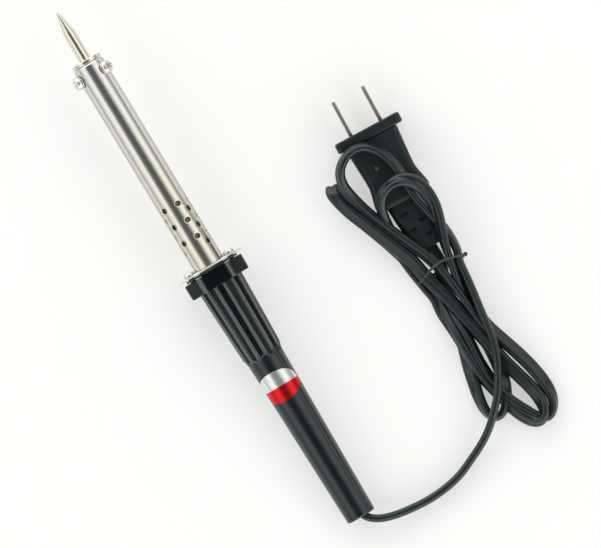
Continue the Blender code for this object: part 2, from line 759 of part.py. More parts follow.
def make_label(parent):
    """Oval of foil wrapped round the handle, just clear of it."""
    bm = bmesh.new()
    rings = 6
    around = 32
    centre_radius = handle_radius(LABEL_CENTRE_HEIGHT) + LABEL_GAP
    middle_turn = math.radians(LABEL_ANGLE)

    def on_handle(across, along):
        height = LABEL_CENTRE_HEIGHT + along
        radius = handle_radius(height) + LABEL_GAP
        turn = middle_turn + across / centre_radius
        return bm.verts.new((radius * math.cos(turn) * MM, radius * math.sin(turn) * MM, height * MM))

    hub = on_handle(0.0, 0.0)
    previous = None
    for ring in range(1, rings + 1):
        share = ring / rings
        loop = []
        for step in range(around):
            angle = 2.0 * math.pi * step / around
            loop.append(on_handle(
                LABEL_HALF_WIDTH * share * math.cos(angle), LABEL_HALF_HEIGHT * share * math.sin(angle)
            ))
        for step in range(around):
            after = (step + 1) % around
            if previous is None:
                bm.faces.new((hub, loop[step], loop[after]))
            else:
                bm.faces.new((previous[step], loop[step], loop[after], previous[after]))
        previous = loop
    mesh = bpy.data.meshes.new("handle_label")
    bm.to_mesh(mesh)
    bm.free()
    mesh.shade_smooth()
    label = place(bpy.data.objects.new("handle_label", mesh), foil(), parent)
    solid = label.modifiers.new("foil", "SOLIDIFY")
    solid.thickness = LABEL_THICKNESS * MM
    solid.offset = 1.0
    return label


def make_wiring(parent):
    """Leads, sleeves, splices and cord conductors inside the handle, one set a side."""
    for index, side in enumerate((-1.0, 1.0)):
        number = index + 1
        y = side * LEAD_OFFSET
        wire(f"heater_lead_{number}", [(0, y, LEAD_TOP), (0, y, SPLICE_TOP + GAP)],
             LEAD_RADIUS, plain_steel(), parent)
        sleeve = turned(
            f"lead_sleeve_{number}", tube_profile(SLEEVE_OUTER, SLEEVE_INNER, SLEEVE_TOP, SLEEVE_BOTTOM),
            glass_braid(), parent, steps=16, closed=True,
        )
        splice = turned(
            f"splice_{number}",
            [(0.0, SPLICE_TOP), (SPLICE_RADIUS - 0.3, SPLICE_TOP), (SPLICE_RADIUS, SPLICE_TOP - 0.5),
             (SPLICE_RADIUS, SPLICE_BOTTOM + 0.5), (SPLICE_RADIUS - 0.3, SPLICE_BOTTOM),
             (0.0, SPLICE_BOTTOM)],
            plain_steel(), parent, steps=16,
        )
        for piece in (sleeve, splice):
            piece.location = (0.0, y * MM, 0.0)
        top = SPLICE_BOTTOM - GAP
        wire(f"cord_conductor_{number}", [(0, y, top), (0, y, CORE_WIRE_BOTTOM)],
             CORE_WIRE_RADIUS, black_vinyl(), parent)


def twin_outline(name, half_width, half_thickness, bottom, top, mat, parent):
    """Flat cord or its passage: a straight bar with round edges, wide along Y."""
    data = bpy.data.curves.new(name, "CURVE")
    data.dimensions = "2D"
    data.fill_mode = "BOTH"
    data.extrude = (top - bottom) / 2.0 * MM
    spline = data.splines.new("POLY")
    outline = rounded_section(half_thickness, half_width, half_thickness - 0.01, per_corner=5)
    spline.points.add(len(outline) - 1)
    for target, (x, y) in zip(spline.points, outline):
        target.co = (x * MM, y * MM, 0.0, 1.0)
    spline.use_cyclic_u = True
    obj = place(bpy.data.objects.new(name, data), mat, parent)
    obj.location = (0.0, 0.0, (top + bottom) / 2.0 * MM)
    return obj


def curve_to_mesh(obj, mat):
    """Swap a curve object for a welded mesh object in the same place."""
    bpy.context.view_layer.update()
    graph = bpy.context.evaluated_depsgraph_get()
    mesh = bpy.data.meshes.new_from_object(obj.evaluated_get(graph))
    bm = bmesh.new()
    bm.from_mesh(mesh)
    bmesh.ops.remove_doubles(bm, verts=bm.verts, dist=0.000001)
    bmesh.ops.recalc_face_normals(bm, faces=bm.faces)
    bm.to_mesh(mesh)
    bm.free()
    name = obj.name
    place_matrix = obj.matrix_world.copy()
    bpy.data.objects.remove(obj, do_unlink=True)
    mesh.name = name
    mesh.materials.clear()
    swapped = place(bpy.data.objects.new(name, mesh), mat)
    swapped.matrix_world = place_matrix
    return swapped


def make_cord_tail(parent):
    """Flat cord inside the handle, and the clip that grips it."""
    half = CORD_WIDTH / 2.0
    thick = CORD_THICKNESS / 2.0
    tail_top = CORE_WIRE_BOTTOM - GAP
    tail = twin_outline("cord_tail", half, thick, CORD_TAIL_BOTTOM, tail_top, black_vinyl(), parent)
    curve_to_mesh(tail, black_vinyl())
    slot = twin_outline(
        "clip_slot", half + GAP, thick + GAP, CLIP_BOTTOM - 2.0, CLIP_TOP + 2.0, None, parent
    )
    slot = as_cutter(curve_to_mesh(slot, None))
    clip = turned(
        "cord_clip",
        [(0.0, CLIP_TOP), (CLIP_RADIUS, CLIP_TOP), (CLIP_RADIUS, CLIP_BOTTOM), (0.0, CLIP_BOTTOM)],
        gasket_board(), parent, steps=32,
    )
    boolean(clip, slot, "DIFFERENCE")


# Cord

def make_cord():
    """Free stretches of the cord as tubes, and the hank as one outline."""
    wire("cord_lead", smooth_points(LEAD_ROUTE, TUBE_STEP), TUBE_RADIUS, black_vinyl())
    wire("cord_outer_loop", smooth_points(OUTER_LOOP_ROUTE, TUBE_STEP), TUBE_RADIUS, black_vinyl())
    wire("cord_inner_loop", smooth_points(INNER_LOOP_ROUTE, TUBE_STEP), TUBE_RADIUS, black_vinyl())
    wire("plug_lead", smooth_points(PLUG_LEAD_ROUTE, TUBE_STEP), TUBE_RADIUS, black_vinyl())


def make_hank():
    """Folded strands as an extruded outline, with a channel below for the tie."""
    data = bpy.data.curves.new("cord_hank", "CURVE")
    data.dimensions = "2D"
    data.fill_mode = "BOTH"
    data.extrude = (HANK_HEIGHT - HANK_BOTTOM) / 2.0 * MM
    spline = data.splines.new("POLY")
    spline.points.add(len(HANK_OUTLINE) - 1)
    for target, (x, y) in zip(spline.points, HANK_OUTLINE):
        target.co = (x * MM, y * MM, 0.0, 1.0)
    spline.use_cyclic_u = True
    outline = place(bpy.data.objects.new("cord_hank", data), None)
    outline.location = (0.0, 0.0, (HANK_HEIGHT + HANK_BOTTOM) / 2.0 * MM)
    hank = curve_to_mesh(outline, black_vinyl())
    bm = bmesh.new()
    made = bmesh.ops.create_cube(bm, size=1.0)
    size = Vector((TIE_CHANNEL_WIDTH, TIE_CHANNEL_LENGTH, 2.0 * TIE_CHANNEL_TOP)) * MM
    bmesh.ops.scale(bm, verts=made["verts"], vec=size)
    bmesh.ops.translate(bm, verts=made["verts"], vec=(TIE_X * MM, sum(TIE_Y) / 2.0 * MM, 0.0))
    channel = as_cutter(mesh_object("tie_channel", bm, None, smooth=False))
    boolean(hank, channel, "DIFFERENCE")
    return hank


def make_tie():
    """Wire tie: a closed loop round the hank, flat on the surface below."""
    low = TIE_RADIUS + 0.15
    middle_y = (TIE_Y[0] + TIE_Y[1]) / 2.0
    middle_z = (low + TIE_TOP) / 2.0
    half_y = (TIE_Y[1] - TIE_Y[0]) / 2.0
    half_z = (TIE_TOP - low) / 2.0
    outline = rounded_section(half_y, half_z, TIE_CORNER, per_corner=4)
    points = [(TIE_X, middle_y + y, middle_z + z) for y, z in outline]
    wire("cord_tie", points, TIE_RADIUS, tie_wire(), cyclic=True)


# Plug

def make_plug():
    """Moulded plug: body, slotted strain relief and two blades."""
    frame = empty("plug_frame", PLUG_FACE, (0.0, PLUG_PITCH - 90.0, PLUG_YAW))
    loft("plug_body", PLUG_SECTIONS, black_vinyl(), frame)
    relief = loft("plug_strain_relief", RELIEF_SECTIONS, black_vinyl(), frame)
    bm = bmesh.new()
    for height, side, surface in RELIEF_SLOTS:
        for face in (-1.0, 1.0):
            made = bmesh.ops.create_cube(bm, size=1.0)
            size = Vector((SLOT_DEPTH * 2.0, SLOT_LENGTH, SLOT_WIDTH)) * MM
            bmesh.ops.scale(bm, verts=made["verts"], vec=size)
            centre = Vector((face * surface, side * SLOT_OFFSET, height)) * MM
            bmesh.ops.translate(bm, verts=made["verts"], vec=centre)
    boolean(relief, as_cutter(mesh_object("relief_slots", bm, None, frame, smooth=False)), "DIFFERENCE")
    for index, side in enumerate((-1.0, 1.0)):
        make_blade(f"plug_blade_{index + 1}", side, frame)


def make_blade(name, side, parent):
    """Flat blade with a chamfered end and its latch hole."""
    bm = bmesh.new()
    bmesh.ops.create_cube(bm, size=1.0)
    size = Vector((BLADE_WIDTH, BLADE_THICKNESS, BLADE_LENGTH)) * MM
    bmesh.ops.scale(bm, verts=bm.verts, vec=size)
    top = [edge for edge in bm.edges if all(vert.co.z > 0.0 for vert in edge.verts)]
    bmesh.ops.bevel(bm, geom=top, offset=BLADE_CHAMFER * MM, segments=1, affect="EDGES")
    blade = mesh_object(name, bm, plug_brass(), parent)
    y = side * BLADE_SPACING / 2.0
    blade.location = Vector((0.0, y, BLADE_LENGTH / 2.0 + GAP)) * MM
    bm = bmesh.new()
    bmesh.ops.create_cone(
        bm, cap_ends=True, segments=16, radius1=BLADE_HOLE_RADIUS * MM,
        radius2=BLADE_HOLE_RADIUS * MM, depth=6.0 * MM,
    )
    hole = as_cutter(mesh_object(f"{name}_hole", bm, None, parent, smooth=False))
    hole.rotation_euler = (math.pi / 2.0, 0.0, 0.0)
    hole.location = Vector((0.0, y, GAP + BLADE_LENGTH - BLADE_HOLE_FROM_TIP)) * MM
    boolean(blade, hole, "DIFFERENCE")


def build():
    """Make every piece."""
    axis = empty("iron_axis", (END_X, 0.0, END_HEIGHT), (0.0, math.degrees(TILT) - 90.0, 0.0))
    bpy.context.view_layer.update()
    make_tip(axis)
    make_front_cap(axis)
    make_barrel(axis)
    make_clamp_screws(axis)
    make_heater(axis)
    make_flange(axis)
    make_handle(axis)
    make_label(axis)
    make_wiring(axis)
    make_cord_tail(axis)
    make_cord()
    make_hank()
    make_tie()
    make_plug()
    bpy.context.view_layer.update()


build()
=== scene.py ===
"""Looks of a pencil soldering iron with a two-blade plug and its flat cord in a hank.

Sizes are in millimetres and are scaled on the way into a mesh.  Pieces of the iron are
made upright and stand on AXIS, whose +Z runs from the handle's end face to the tip.
"""

import math

import bmesh
import bpy
from mathutils import Euler, Matrix, Vector


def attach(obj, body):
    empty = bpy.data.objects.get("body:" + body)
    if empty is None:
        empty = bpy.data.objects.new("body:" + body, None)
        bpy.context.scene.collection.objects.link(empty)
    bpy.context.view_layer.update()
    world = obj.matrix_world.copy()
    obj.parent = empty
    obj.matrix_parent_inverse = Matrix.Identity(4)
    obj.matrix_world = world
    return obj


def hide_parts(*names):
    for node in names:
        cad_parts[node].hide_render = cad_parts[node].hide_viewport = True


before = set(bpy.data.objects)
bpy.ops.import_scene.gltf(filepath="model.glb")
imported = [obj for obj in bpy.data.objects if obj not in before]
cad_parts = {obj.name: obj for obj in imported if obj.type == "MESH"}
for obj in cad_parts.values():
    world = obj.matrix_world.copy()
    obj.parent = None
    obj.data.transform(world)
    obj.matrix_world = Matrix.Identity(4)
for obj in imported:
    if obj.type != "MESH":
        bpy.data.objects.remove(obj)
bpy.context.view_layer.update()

MM = 0.001
IRON_LENGTH = 222.6
PLATE_RADIUS = 13.45
HANDLE_END_RADIUS = 5.8
TILT = math.atan((PLATE_RADIUS - HANDLE_END_RADIUS) / 110.0)
END = Vector((
    (IRON_LENGTH * math.cos(TILT) - 5.0 * math.sin(TILT)) / 2.0, 0.0,
    HANDLE_END_RADIUS * math.cos(TILT),
))
AXIS = Matrix.Translation(END * MM) @ Euler((0.0, TILT - math.pi / 2.0, 0.0)).to_matrix().to_4x4()
ALONG = Vector((math.cos(TILT), 0.0, -math.sin(TILT)))     # from the tip to the handle's end
ACROSS = Vector((0.0, 1.0, 0.0))
FACING = Vector((math.sin(TILT), 0.0, math.cos(TILT)))     # from the iron to the camera

PLUG_FACE = Vector((-13.9, 77.3, 7.5))
PLUG_AXIS = Matrix.Translation(PLUG_FACE * MM) @ Euler(
    (0.0, math.radians(4.2 - 90.0), math.radians(-2.8))
).to_matrix().to_4x4()


# Nodes and materials

def node(tree, kind, values=None, **settings):
    """Add a shader node; values are its inputs, by name or number, or links to them."""
    made = tree.nodes.new(kind)
    for key, value in settings.items():
        setattr(made, key, value)
    for key, value in (values or {}).items():
        if isinstance(value, bpy.types.NodeSocket):
            tree.links.new(value, made.inputs[key])
        else:
            made.inputs[key].default_value = value
    return made


def ramp(tree, value, stops):
    """Colour ramp through (place, colour or grey) stops."""
    made = node(tree, "ShaderNodeValToRGB", {"Fac": value})
    band = made.color_ramp
    while len(band.elements) < len(stops):
        band.elements.new(0.5)
    for element, (place, colour) in zip(band.elements, stops):
        element.position = place
        element.color = (colour, colour, colour, 1.0) if isinstance(colour, float) else (*colour, 1.0)
    return made.outputs["Color"]


def object_place(tree):
    """The object's own coordinates, in metres."""
    return node(tree, "ShaderNodeTexCoord").outputs["Object"]


def object_axes(tree):
    """The object's own coordinates as three values."""
    return node(tree, "ShaderNodeSeparateXYZ", {"Vector": object_place(tree)}).outputs


def stretched(tree, scale):
    """Object coordinates scaled by a vector, or by one number on every axis."""
    scale = scale if isinstance(scale, tuple) else (scale,) * 3
    return node(tree, "ShaderNodeMapping", {"Vector": object_place(tree), "Scale": scale}).outputs["Vector"]


def noise(tree, scale, detail=3.0, roughness=0.55):
    """Noise whose fineness along each axis is a scale, per metre."""
    return node(tree, "ShaderNodeTexNoise", {
        "Vector": stretched(tree, scale), "Scale": 1.0, "Detail": detail, "Roughness": roughness,
    }).outputs["Fac"]


def mix(tree, share, first, second):
    """Mix two colours by a share."""
    made = node(tree, "ShaderNodeMix", data_type="RGBA")
    for place, value in ((0, share), (6, first), (7, second)):
        if isinstance(value, bpy.types.NodeSocket):
            tree.links.new(value, made.inputs[place])
        elif place:
            made.inputs[place].default_value = (*value, 1.0)
        else:
            made.inputs[place].default_value = value
    return made.outputs[2]


def math_node(tree, operation, first, second=0.0, third=0.0, clamp=False):
    """Result of one operation on values or links."""
    return node(
        tree, "ShaderNodeMath", {0: first, 1: second, 2: third}, operation=operation, use_clamp=clamp
    ).outputs[0]


def scaled(tree, value, factor, offset, clamp=False):
    """A value times a factor, plus an offset."""
    return math_node(tree, "MULTIPLY_ADD", value, factor, offset, clamp)


def bump(tree, height, strength, distance, normal=None):
    """Bump of a height, its distance in millimetres."""
    values = {"Height": height, "Strength": strength, "Distance": distance * MM}
    if normal is not None:
        values["Normal"] = normal
    return node(tree, "ShaderNodeBump", values).outputs["Normal"]


def principled(name, colour, roughness, normal=None, **fixed):
    """Finish a material begun by start(); fixed values go straight onto the shader."""
    mat = bpy.data.materials[name]
    tree = mat.node_tree
    shader = tree.nodes["Principled BSDF"]
    for key, value in (("Base Color", colour), ("Roughness", roughness), ("Normal", normal)):
        if isinstance(value, bpy.types.NodeSocket):
            tree.links.new(value, shader.inputs[key])
        elif value is not None:
            shader.inputs[key].default_value = (*value, 1.0) if key == "Base Color" else value
    for key, value in fixed.items():
        shader.inputs[key.replace("_", " ")].default_value = value
    return mat


def start(name):
    """A new material and its node tree."""
    mat = bpy.data.materials.new(name)
    mat.use_nodes = True
    return mat.node_tree


EDGE_SHADE_TINT = (0.55, 0.55, 0.53, 1.0)   # painted shade: the plating's grazing reflections are darkened, standing in for the shaded floor they reflect
COOL_SHINE = (0.84, 0.97, 1.0, 1.0)   # the blacks reflect a little blue-green
RIDGE_HIGHLIGHT_GREY = (0.055, 0.062, 0.063)    # painted highlight: the grip's ridge tops are coloured lighter grey, standing in for their sheen


def barrel_look():
    """Drawn, polished nickel plate: fine lengthwise lines, faint heat tint, small specks."""
    tree = start("look_barrel")
    lines = noise(tree, (2600.0, 2600.0, 60.0), 4.0, 0.6)
    rings = noise(tree, (40.0, 40.0, 2600.0), 3.0, 0.6)
    specks = noise(tree, (900.0, 900.0, 700.0), 2.0)
    along = scaled(tree, object_axes(tree)["Z"], -11.3, 2.25, clamp=True)
    drift = scaled(tree, noise(tree, (60.0, 60.0, 25.0)), 0.3, -0.15)
    warm = math_node(tree, "ADD", along, drift, clamp=True)
    tint = ramp(tree, warm, [
        (0.0, (0.70, 0.695, 0.675)), (0.45, (0.695, 0.68, 0.63)), (1.0, (0.69, 0.665, 0.585)),
    ])
    colour = mix(tree, ramp(tree, specks, [(0.66, 0.0), (0.74, 0.35)]), tint, (0.42, 0.40, 0.35))
    normal = bump(tree, lines, 0.25, 0.004)
    normal = bump(tree, rings, 0.35, 0.004, normal)
    # The edge tint darkens grazing reflections as painted shade.
    return principled("look_barrel", colour, scaled(tree, lines, 0.10, 0.13), normal, Metallic=1.0,
                      Specular_Tint=EDGE_SHADE_TINT)


def plated_look(name, colour, low):
    """Turned and plated small part."""
    tree = start(name)
    cloud = noise(tree, 700.0, 4.0)
    shade = tuple(part * 0.86 for part in colour)
    return principled(name, mix(tree, cloud, colour, shade), scaled(tree, cloud, 0.14, low),
                      bump(tree, noise(tree, 3000.0, 2.0), 0.3, 0.01), Metallic=1.0)


def handle_look(name="look_handle", low=0.16, shine=0.68, coat=0.0, ridge_highlight=None):
    """Glossy black moulding with a faint texture and rub marks; an optional share is coloured lighter grey,
    a painted highlight.
    """
    tree = start(name)
    grain = noise(tree, (2400.0, 2400.0, 1800.0), 3.0, 0.6)
    rub = noise(tree, (160.0, 160.0, 50.0), 5.0, 0.6)
    dust = noise(tree, 1500.0, 1.0)
    colour = mix(tree, rub, (0.003, 0.0055, 0.0065), (0.005, 0.008, 0.009))
    colour = mix(tree, ramp(tree, dust, [(0.71, 0.0), (0.76, 0.5)]), colour, (0.03, 0.033, 0.033))
    # Painted highlight: lighter grey on the given share.
    if ridge_highlight:
        colour = mix(tree, ridge_highlight(tree), colour, RIDGE_HIGHLIGHT_GREY)
    return principled(name, colour, scaled(tree, rub, 0.14, low), bump(tree, grain, 0.3, 0.012),
                      Specular_IOR_Level=shine, Specular_Tint=COOL_SHINE, Coat_Weight=coat,
                      Coat_Roughness=0.12)


def ridge_share(tree):
    """1 on the tops of the grip's ridges, where a highlight is painted, 0 in its grooves."""
    axes = object_axes(tree)
    square = scaled(tree, axes["Y"], axes["Y"], math_node(tree, "MULTIPLY", axes["X"], axes["X"]))
    radius = math_node(tree, "SQRT", square)
    slope = (CREST_TOP - CREST_LOW) / (GRIP_TOP - GRIP_LOW)
    crest = scaled(tree, axes["Z"], slope, (CREST_LOW - GRIP_LOW * slope) * MM)
    depth = math_node(tree, "SUBTRACT", crest, radius)
    return scaled(tree, depth, -1.0 / (0.25 * MM), 1.5, clamp=True)


def vinyl_look(name="look_vinyl", low=0.2, grain_size=2200.0, shine=0.55):
    """Soft black vinyl with an orange-peel skin and pale dust."""
    tree = start(name)
    waves = noise(tree, 320.0)
    colour = mix(tree, waves, (0.005, 0.0095, 0.0105), (0.009, 0.014, 0.015))
    dust = ramp(tree, noise(tree, 1300.0, 1.0), [(0.71, 0.0), (0.77, 0.6)])
    normal = bump(tree, waves, 0.25, 0.05)
    normal = bump(tree, noise(tree, grain_size, 3.0, 0.6), 0.35, 0.012, normal)
    return principled(name, mix(tree, dust, colour, (0.05, 0.056, 0.056)), scaled(tree, waves, 0.2, low),
                      normal, Specular_IOR_Level=shine, Specular_Tint=COOL_SHINE)


def marked_look(name, cloud, colours, marks, roughness, relief, **fixed):
    """A cloudy colour under fine marks, which both roughen and dent it."""
    tree = start(name)
    colour = mix(tree, noise(tree, *cloud), *colours)
    lines = noise(tree, *marks)
    return principled(name, colour, scaled(tree, lines, *roughness), bump(tree, lines, *relief), **fixed)


def tip_look():
    """Warm bright plating with turning marks round it."""
    # The edge tint darkens grazing reflections as painted shade.
    return marked_look(
        "look_tip", ((300.0, 300.0, 120.0),), ((0.86, 0.84, 0.72), (0.78, 0.755, 0.62)),
        ((150.0, 150.0, 4200.0), 3.0, 0.65), (0.12, 0.12), (0.5, 0.006), Metallic=1.0,
        Specular_Tint=EDGE_SHADE_TINT,
    )


def blade_look():
    """Plated blades with lengthwise rolling marks and dull edges."""
    return marked_look(
        "look_blade", ((500.0, 500.0, 200.0),), ((0.70, 0.69, 0.58), (0.52, 0.50, 0.41)),
        ((3500.0, 3500.0, 160.0), 4.0, 0.7), (0.2, 0.22), (0.6, 0.012), Metallic=1.0,
    )


def tie_look():
    """Black coated wire."""
    return marked_look("look_tie", (1800.0,), ((0.018, 0.023, 0.024), (0.035, 0.042, 0.043)),
                       (1800.0,), (0.2, 0.45), (0.4, 0.02))


def board_look():
    """Dark pressed fibre."""
    fibre = ((1500.0, 1500.0, 400.0), 5.0, 0.7)
    return marked_look("look_board", fibre, ((0.012, 0.013, 0.013), (0.05, 0.05, 0.047)), fibre,
                       (0.2, 0.7), (0.7, 0.04))


def ceramic_look():
    """Unglazed off-white ceramic."""
    return marked_look("look_ceramic", (1200.0, 4.0), ((0.74, 0.71, 0.64), (0.60, 0.56, 0.49)),
                       (1200.0, 4.0), (0.2, 0.5), (0.5, 0.03))


def bare_steel_look():
    """Bare steel with drawn lines and a little scale."""
    return marked_look("look_bare_steel", (400.0, 4.0), ((0.50, 0.49, 0.47), (0.28, 0.26, 0.24)),
                       ((2500.0, 2500.0, 90.0), 4.0), (0.2, 0.32), (0.5, 0.01), Metallic=1.0)


def mica_look():
    """Brown layered mica."""
    tree = start("look_mica")
    flakes = noise(tree, (900.0, 900.0, 260.0), 5.0, 0.65)
    colour = ramp(tree, flakes, [
        (0.3, (0.13, 0.095, 0.045)), (0.55, (0.27, 0.21, 0.11)), (0.8, (0.40, 0.33, 0.19)),
    ])
    return principled("look_mica", colour, scaled(tree, flakes, 0.3, 0.35), bump(tree, flakes, 0.6, 0.05),
                      Specular_IOR_Level=0.6)


def braid_look():
    """Woven glass sleeve."""
    tree = start("look_braid")
    warp, weft = (
        node(tree, "ShaderNodeTexWave", {
            "Vector": stretched(tree, (1.0, way, 1.0)), "Scale": 900.0, "Distortion": distortion,
        }, bands_direction="DIAGONAL").outputs["Fac"]
        for way, distortion in ((1.0, 0.4), (-1.0, 0.0))
    )
    weave = math_node(tree, "MULTIPLY", warp, weft)
    colour = mix(tree, weave, (0.62, 0.60, 0.53), (0.80, 0.78, 0.72))
    return principled("look_braid", colour, 0.8, bump(tree, weave, 0.6, 0.06))


def foil_look(split):
    """Foil label: silver above a height in mm, red below it, slightly creased."""
    tree = start("look_foil")
    creases = noise(tree, 420.0, 4.0, 0.6)
    wear = noise(tree, 1400.0, 4.0, 0.7)
    edge = scaled(tree, creases, 0.00016, split * MM - 0.00008)
    printed = math_node(tree, "LESS_THAN", object_axes(tree)["Z"], edge)
    silver = mix(tree, wear, (0.82, 0.84, 0.84), (0.68, 0.71, 0.71))
    red = mix(tree, wear, (0.78, 0.018, 0.022), (0.62, 0.012, 0.016))
    return principled("look_foil", mix(tree, printed, silver, red), scaled(tree, creases, 0.16, 0.16),
                      bump(tree, creases, 0.35, 0.05), Metallic=0.85)


def floor_look():
    """Pale matte floor that glows a little, so that shadows on it stay light."""
    tree = start("look_floor")
    colour = mix(tree, noise(tree, 6.0), (0.46, 0.46, 0.46), (0.45, 0.45, 0.45))
    return principled("look_floor", colour, 0.9, Specular_IOR_Level=0.1,
                      Emission_Color=(1.0, 1.0, 0.99, 1.0), Emission_Strength=0.51)


# Building meshes

def mesh_of(name, verts, faces):
    """Mesh of vertices in mm, its faces turned outwards."""
    mesh = bpy.data.meshes.new(name)
    mesh.from_pydata([Vector(v) * MM for v in verts], [], faces)
    bm = bmesh.new()
    bm.from_mesh(mesh)
    bmesh.ops.recalc_face_normals(bm, faces=bm.faces)
    bm.to_mesh(mesh)
    bm.free()
    return mesh


def placed(name, mesh, matrix):
    """An object of a mesh, in the scene."""
    obj = bpy.data.objects.new(name, mesh)
    bpy.context.scene.collection.objects.link(obj)
    obj.matrix_world = matrix
    return obj


def smooth(mesh, sharp):
    """Shade a mesh smooth but for edges sharper than an angle in degrees."""
    mesh.shade_smooth()
    mesh.set_sharp_from_angle(angle=math.radians(sharp))


def piece(name, verts, faces, mat, body="iron", stands_for=(), slot=None, matrix=AXIS, sharp=32.0):
    """A visible piece of vertices in mm, riding on a body."""
    mesh = mesh_of(name, verts, faces)
    smooth(mesh, sharp)
    obj = placed(name, mesh, matrix)
    mesh.materials.append(mat)
    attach(obj, body)
    if stands_for:
        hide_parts(*stands_for)
    return obj


def cut(obj, cutters, rim):
    """Cut a piece with others, which go, and bevel the new edges by a rim in mm."""
    for cutter in cutters:
        mod = obj.modifiers.new("cut", "BOOLEAN")
        mod.operation = "DIFFERENCE"
        mod.solver = "EXACT"
        mod.object = cutter
    soft = obj.modifiers.new("rim", "BEVEL")
    soft.width = rim * MM
    soft.segments = 2
    soft.limit_method = "ANGLE"
    soft.angle_limit = math.radians(50.0)
    bpy.context.view_layer.update()
    graph = bpy.context.evaluated_depsgraph_get()
    made = bpy.data.meshes.new_from_object(obj.evaluated_get(graph))
    obj.modifiers.clear()
    obj.data = made
    smooth(made, 32.0)
    for cutter in cutters:
        bpy.data.objects.remove(cutter, do_unlink=True)
    return obj


def rounded(points, radii, steps=4):
    """Round the corners of a closed (radius, height) outline, by one radius or by a list of them."""
    count = len(points)
    radii = radii if isinstance(radii, list) else [radii] * count
    out = []
    for index, point in enumerate(points):
        here = Vector(point)
        to_before = Vector(points[index - 1]) - here
        to_after = Vector(points[(index + 1) % count]) - here
        reach = radii[index] / math.tan(to_before.angle(to_after) / 2.0)
        reach = min(reach, to_before.length * 0.49, to_after.length * 0.49)
        first = here + to_before.normalized() * reach
        last = here + to_after.normalized() * reach
        for step in range(steps + 1):
            t = step / steps
            out.append(tuple(first * (1 - t) ** 2 + here * 2 * t * (1 - t) + last * t ** 2))
    return out


def lathe(profile, sides=96, closed=False, radius_at=None):
    """Vertices and faces of a turned shape; a radius of 0 becomes one pole."""
    verts, faces, rings = [], [], []
    for radius, height in profile:
        if radius < 1e-6:
            rings.append([len(verts)])
            verts.append((0.0, 0.0, height))
            continue
        rings.append(list(range(len(verts), len(verts) + sides)))
        for side in range(sides):
            turn = 2.0 * math.pi * side / sides
            reach = radius if radius_at is None else radius_at(radius, height, turn)
            verts.append((reach * math.cos(turn), reach * math.sin(turn), height))
    pairs = list(zip(rings, rings[1:]))
    if closed:
        pairs.append((rings[-1], rings[0]))
    for upper, lower in pairs:
        for side in range(sides):
            corners = ((upper, side), (lower, side), (lower, side + 1), (upper, side + 1))
            # A pole gives the same corner twice, and a face keeps it once.
            faces.append(tuple(dict.fromkeys(ring[turn % len(ring)] for ring, turn in corners)))
    return verts, faces


def turned(name, profile, mat, sides=96, closed=False, **more):
    """A turned piece."""
    verts, faces = lathe(profile, sides, closed)
    return piece(name, verts, faces, mat, **more)


def rounded_section(half_x, half_y, corner, per_corner=8):
    """Points round a rectangle with round corners."""
    points = []
    for quarter in range(4):
        sign_x = 1.0 if quarter in (0, 3) else -1.0
        sign_y = 1.0 if quarter in (0, 1) else -1.0
        centre = (sign_x * (half_x - corner), sign_y * (half_y - corner))
        for part in range(per_corner + 1):
            angle = (quarter + part / per_corner) * math.pi / 2.0
            points.append((centre[0] + corner * math.cos(angle), centre[1] + corner * math.sin(angle)))
    return points


def loft(sections):
    """Closed skin through rings of equal count, each a list of 3-D points."""
    verts, faces = [], []
    count = len(sections[0])
    for ring in sections:
        verts.extend(ring)
    for index in range(len(sections) - 1):
        for side in range(count):
            after = (side + 1) % count
            a = index * count
            b = a + count
            faces.append((a + side, b + side, b + after, a + after))
    faces.append(tuple(range(count)))
    faces.append(tuple(reversed(range(len(verts) - count, len(verts)))))
    return verts, faces


def curve_through(points, step):
    """Points about step apart on a centripetal curve through points, and each one's place.

    A place is the number of the control point before it plus the share of the way on.
    """
    line = [Vector(point) for point in points]
    ends = [line[0] * 2.0 - line[1]] + line + [line[-1] * 2.0 - line[-2]]
    out, places = [], []
    for index in range(len(line) - 1):
        knots = ends[index:index + 4]
        times = [0.0]
        for here, after in zip(knots, knots[1:]):
            times.append(times[-1] + max(1e-6, (after - here).length ** 0.5))
        count = max(2, round((knots[2] - knots[1]).length / step))
        for part in range(count):
            t = times[1] + (times[2] - times[1]) * part / count

            def blend(first, last, begin, end):
                return (first * (times[end] - t) + last * (t - times[begin])) / (times[end] - times[begin])

            a = [blend(knots[k], knots[k + 1], k, k + 1) for k in range(3)]
            b = [blend(a[k], a[k + 1], k, k + 2) for k in range(2)]
            out.append(blend(b[0], b[1], 1, 2))
            places.append(index + part / count)
    out.append(line[-1])
    places.append(float(len(line) - 1))
    return out, places


def smoothed(values, passes):
    """Average each value with its neighbours; the ends stay."""
    for _ in range(passes):
        values = [values[0]] + [
            (before + here * 2.0 + after) * 0.25
            for before, here, after in zip(values, values[1:], values[2:])
        ] + [values[-1]]
    return values


# Camera, light and floor

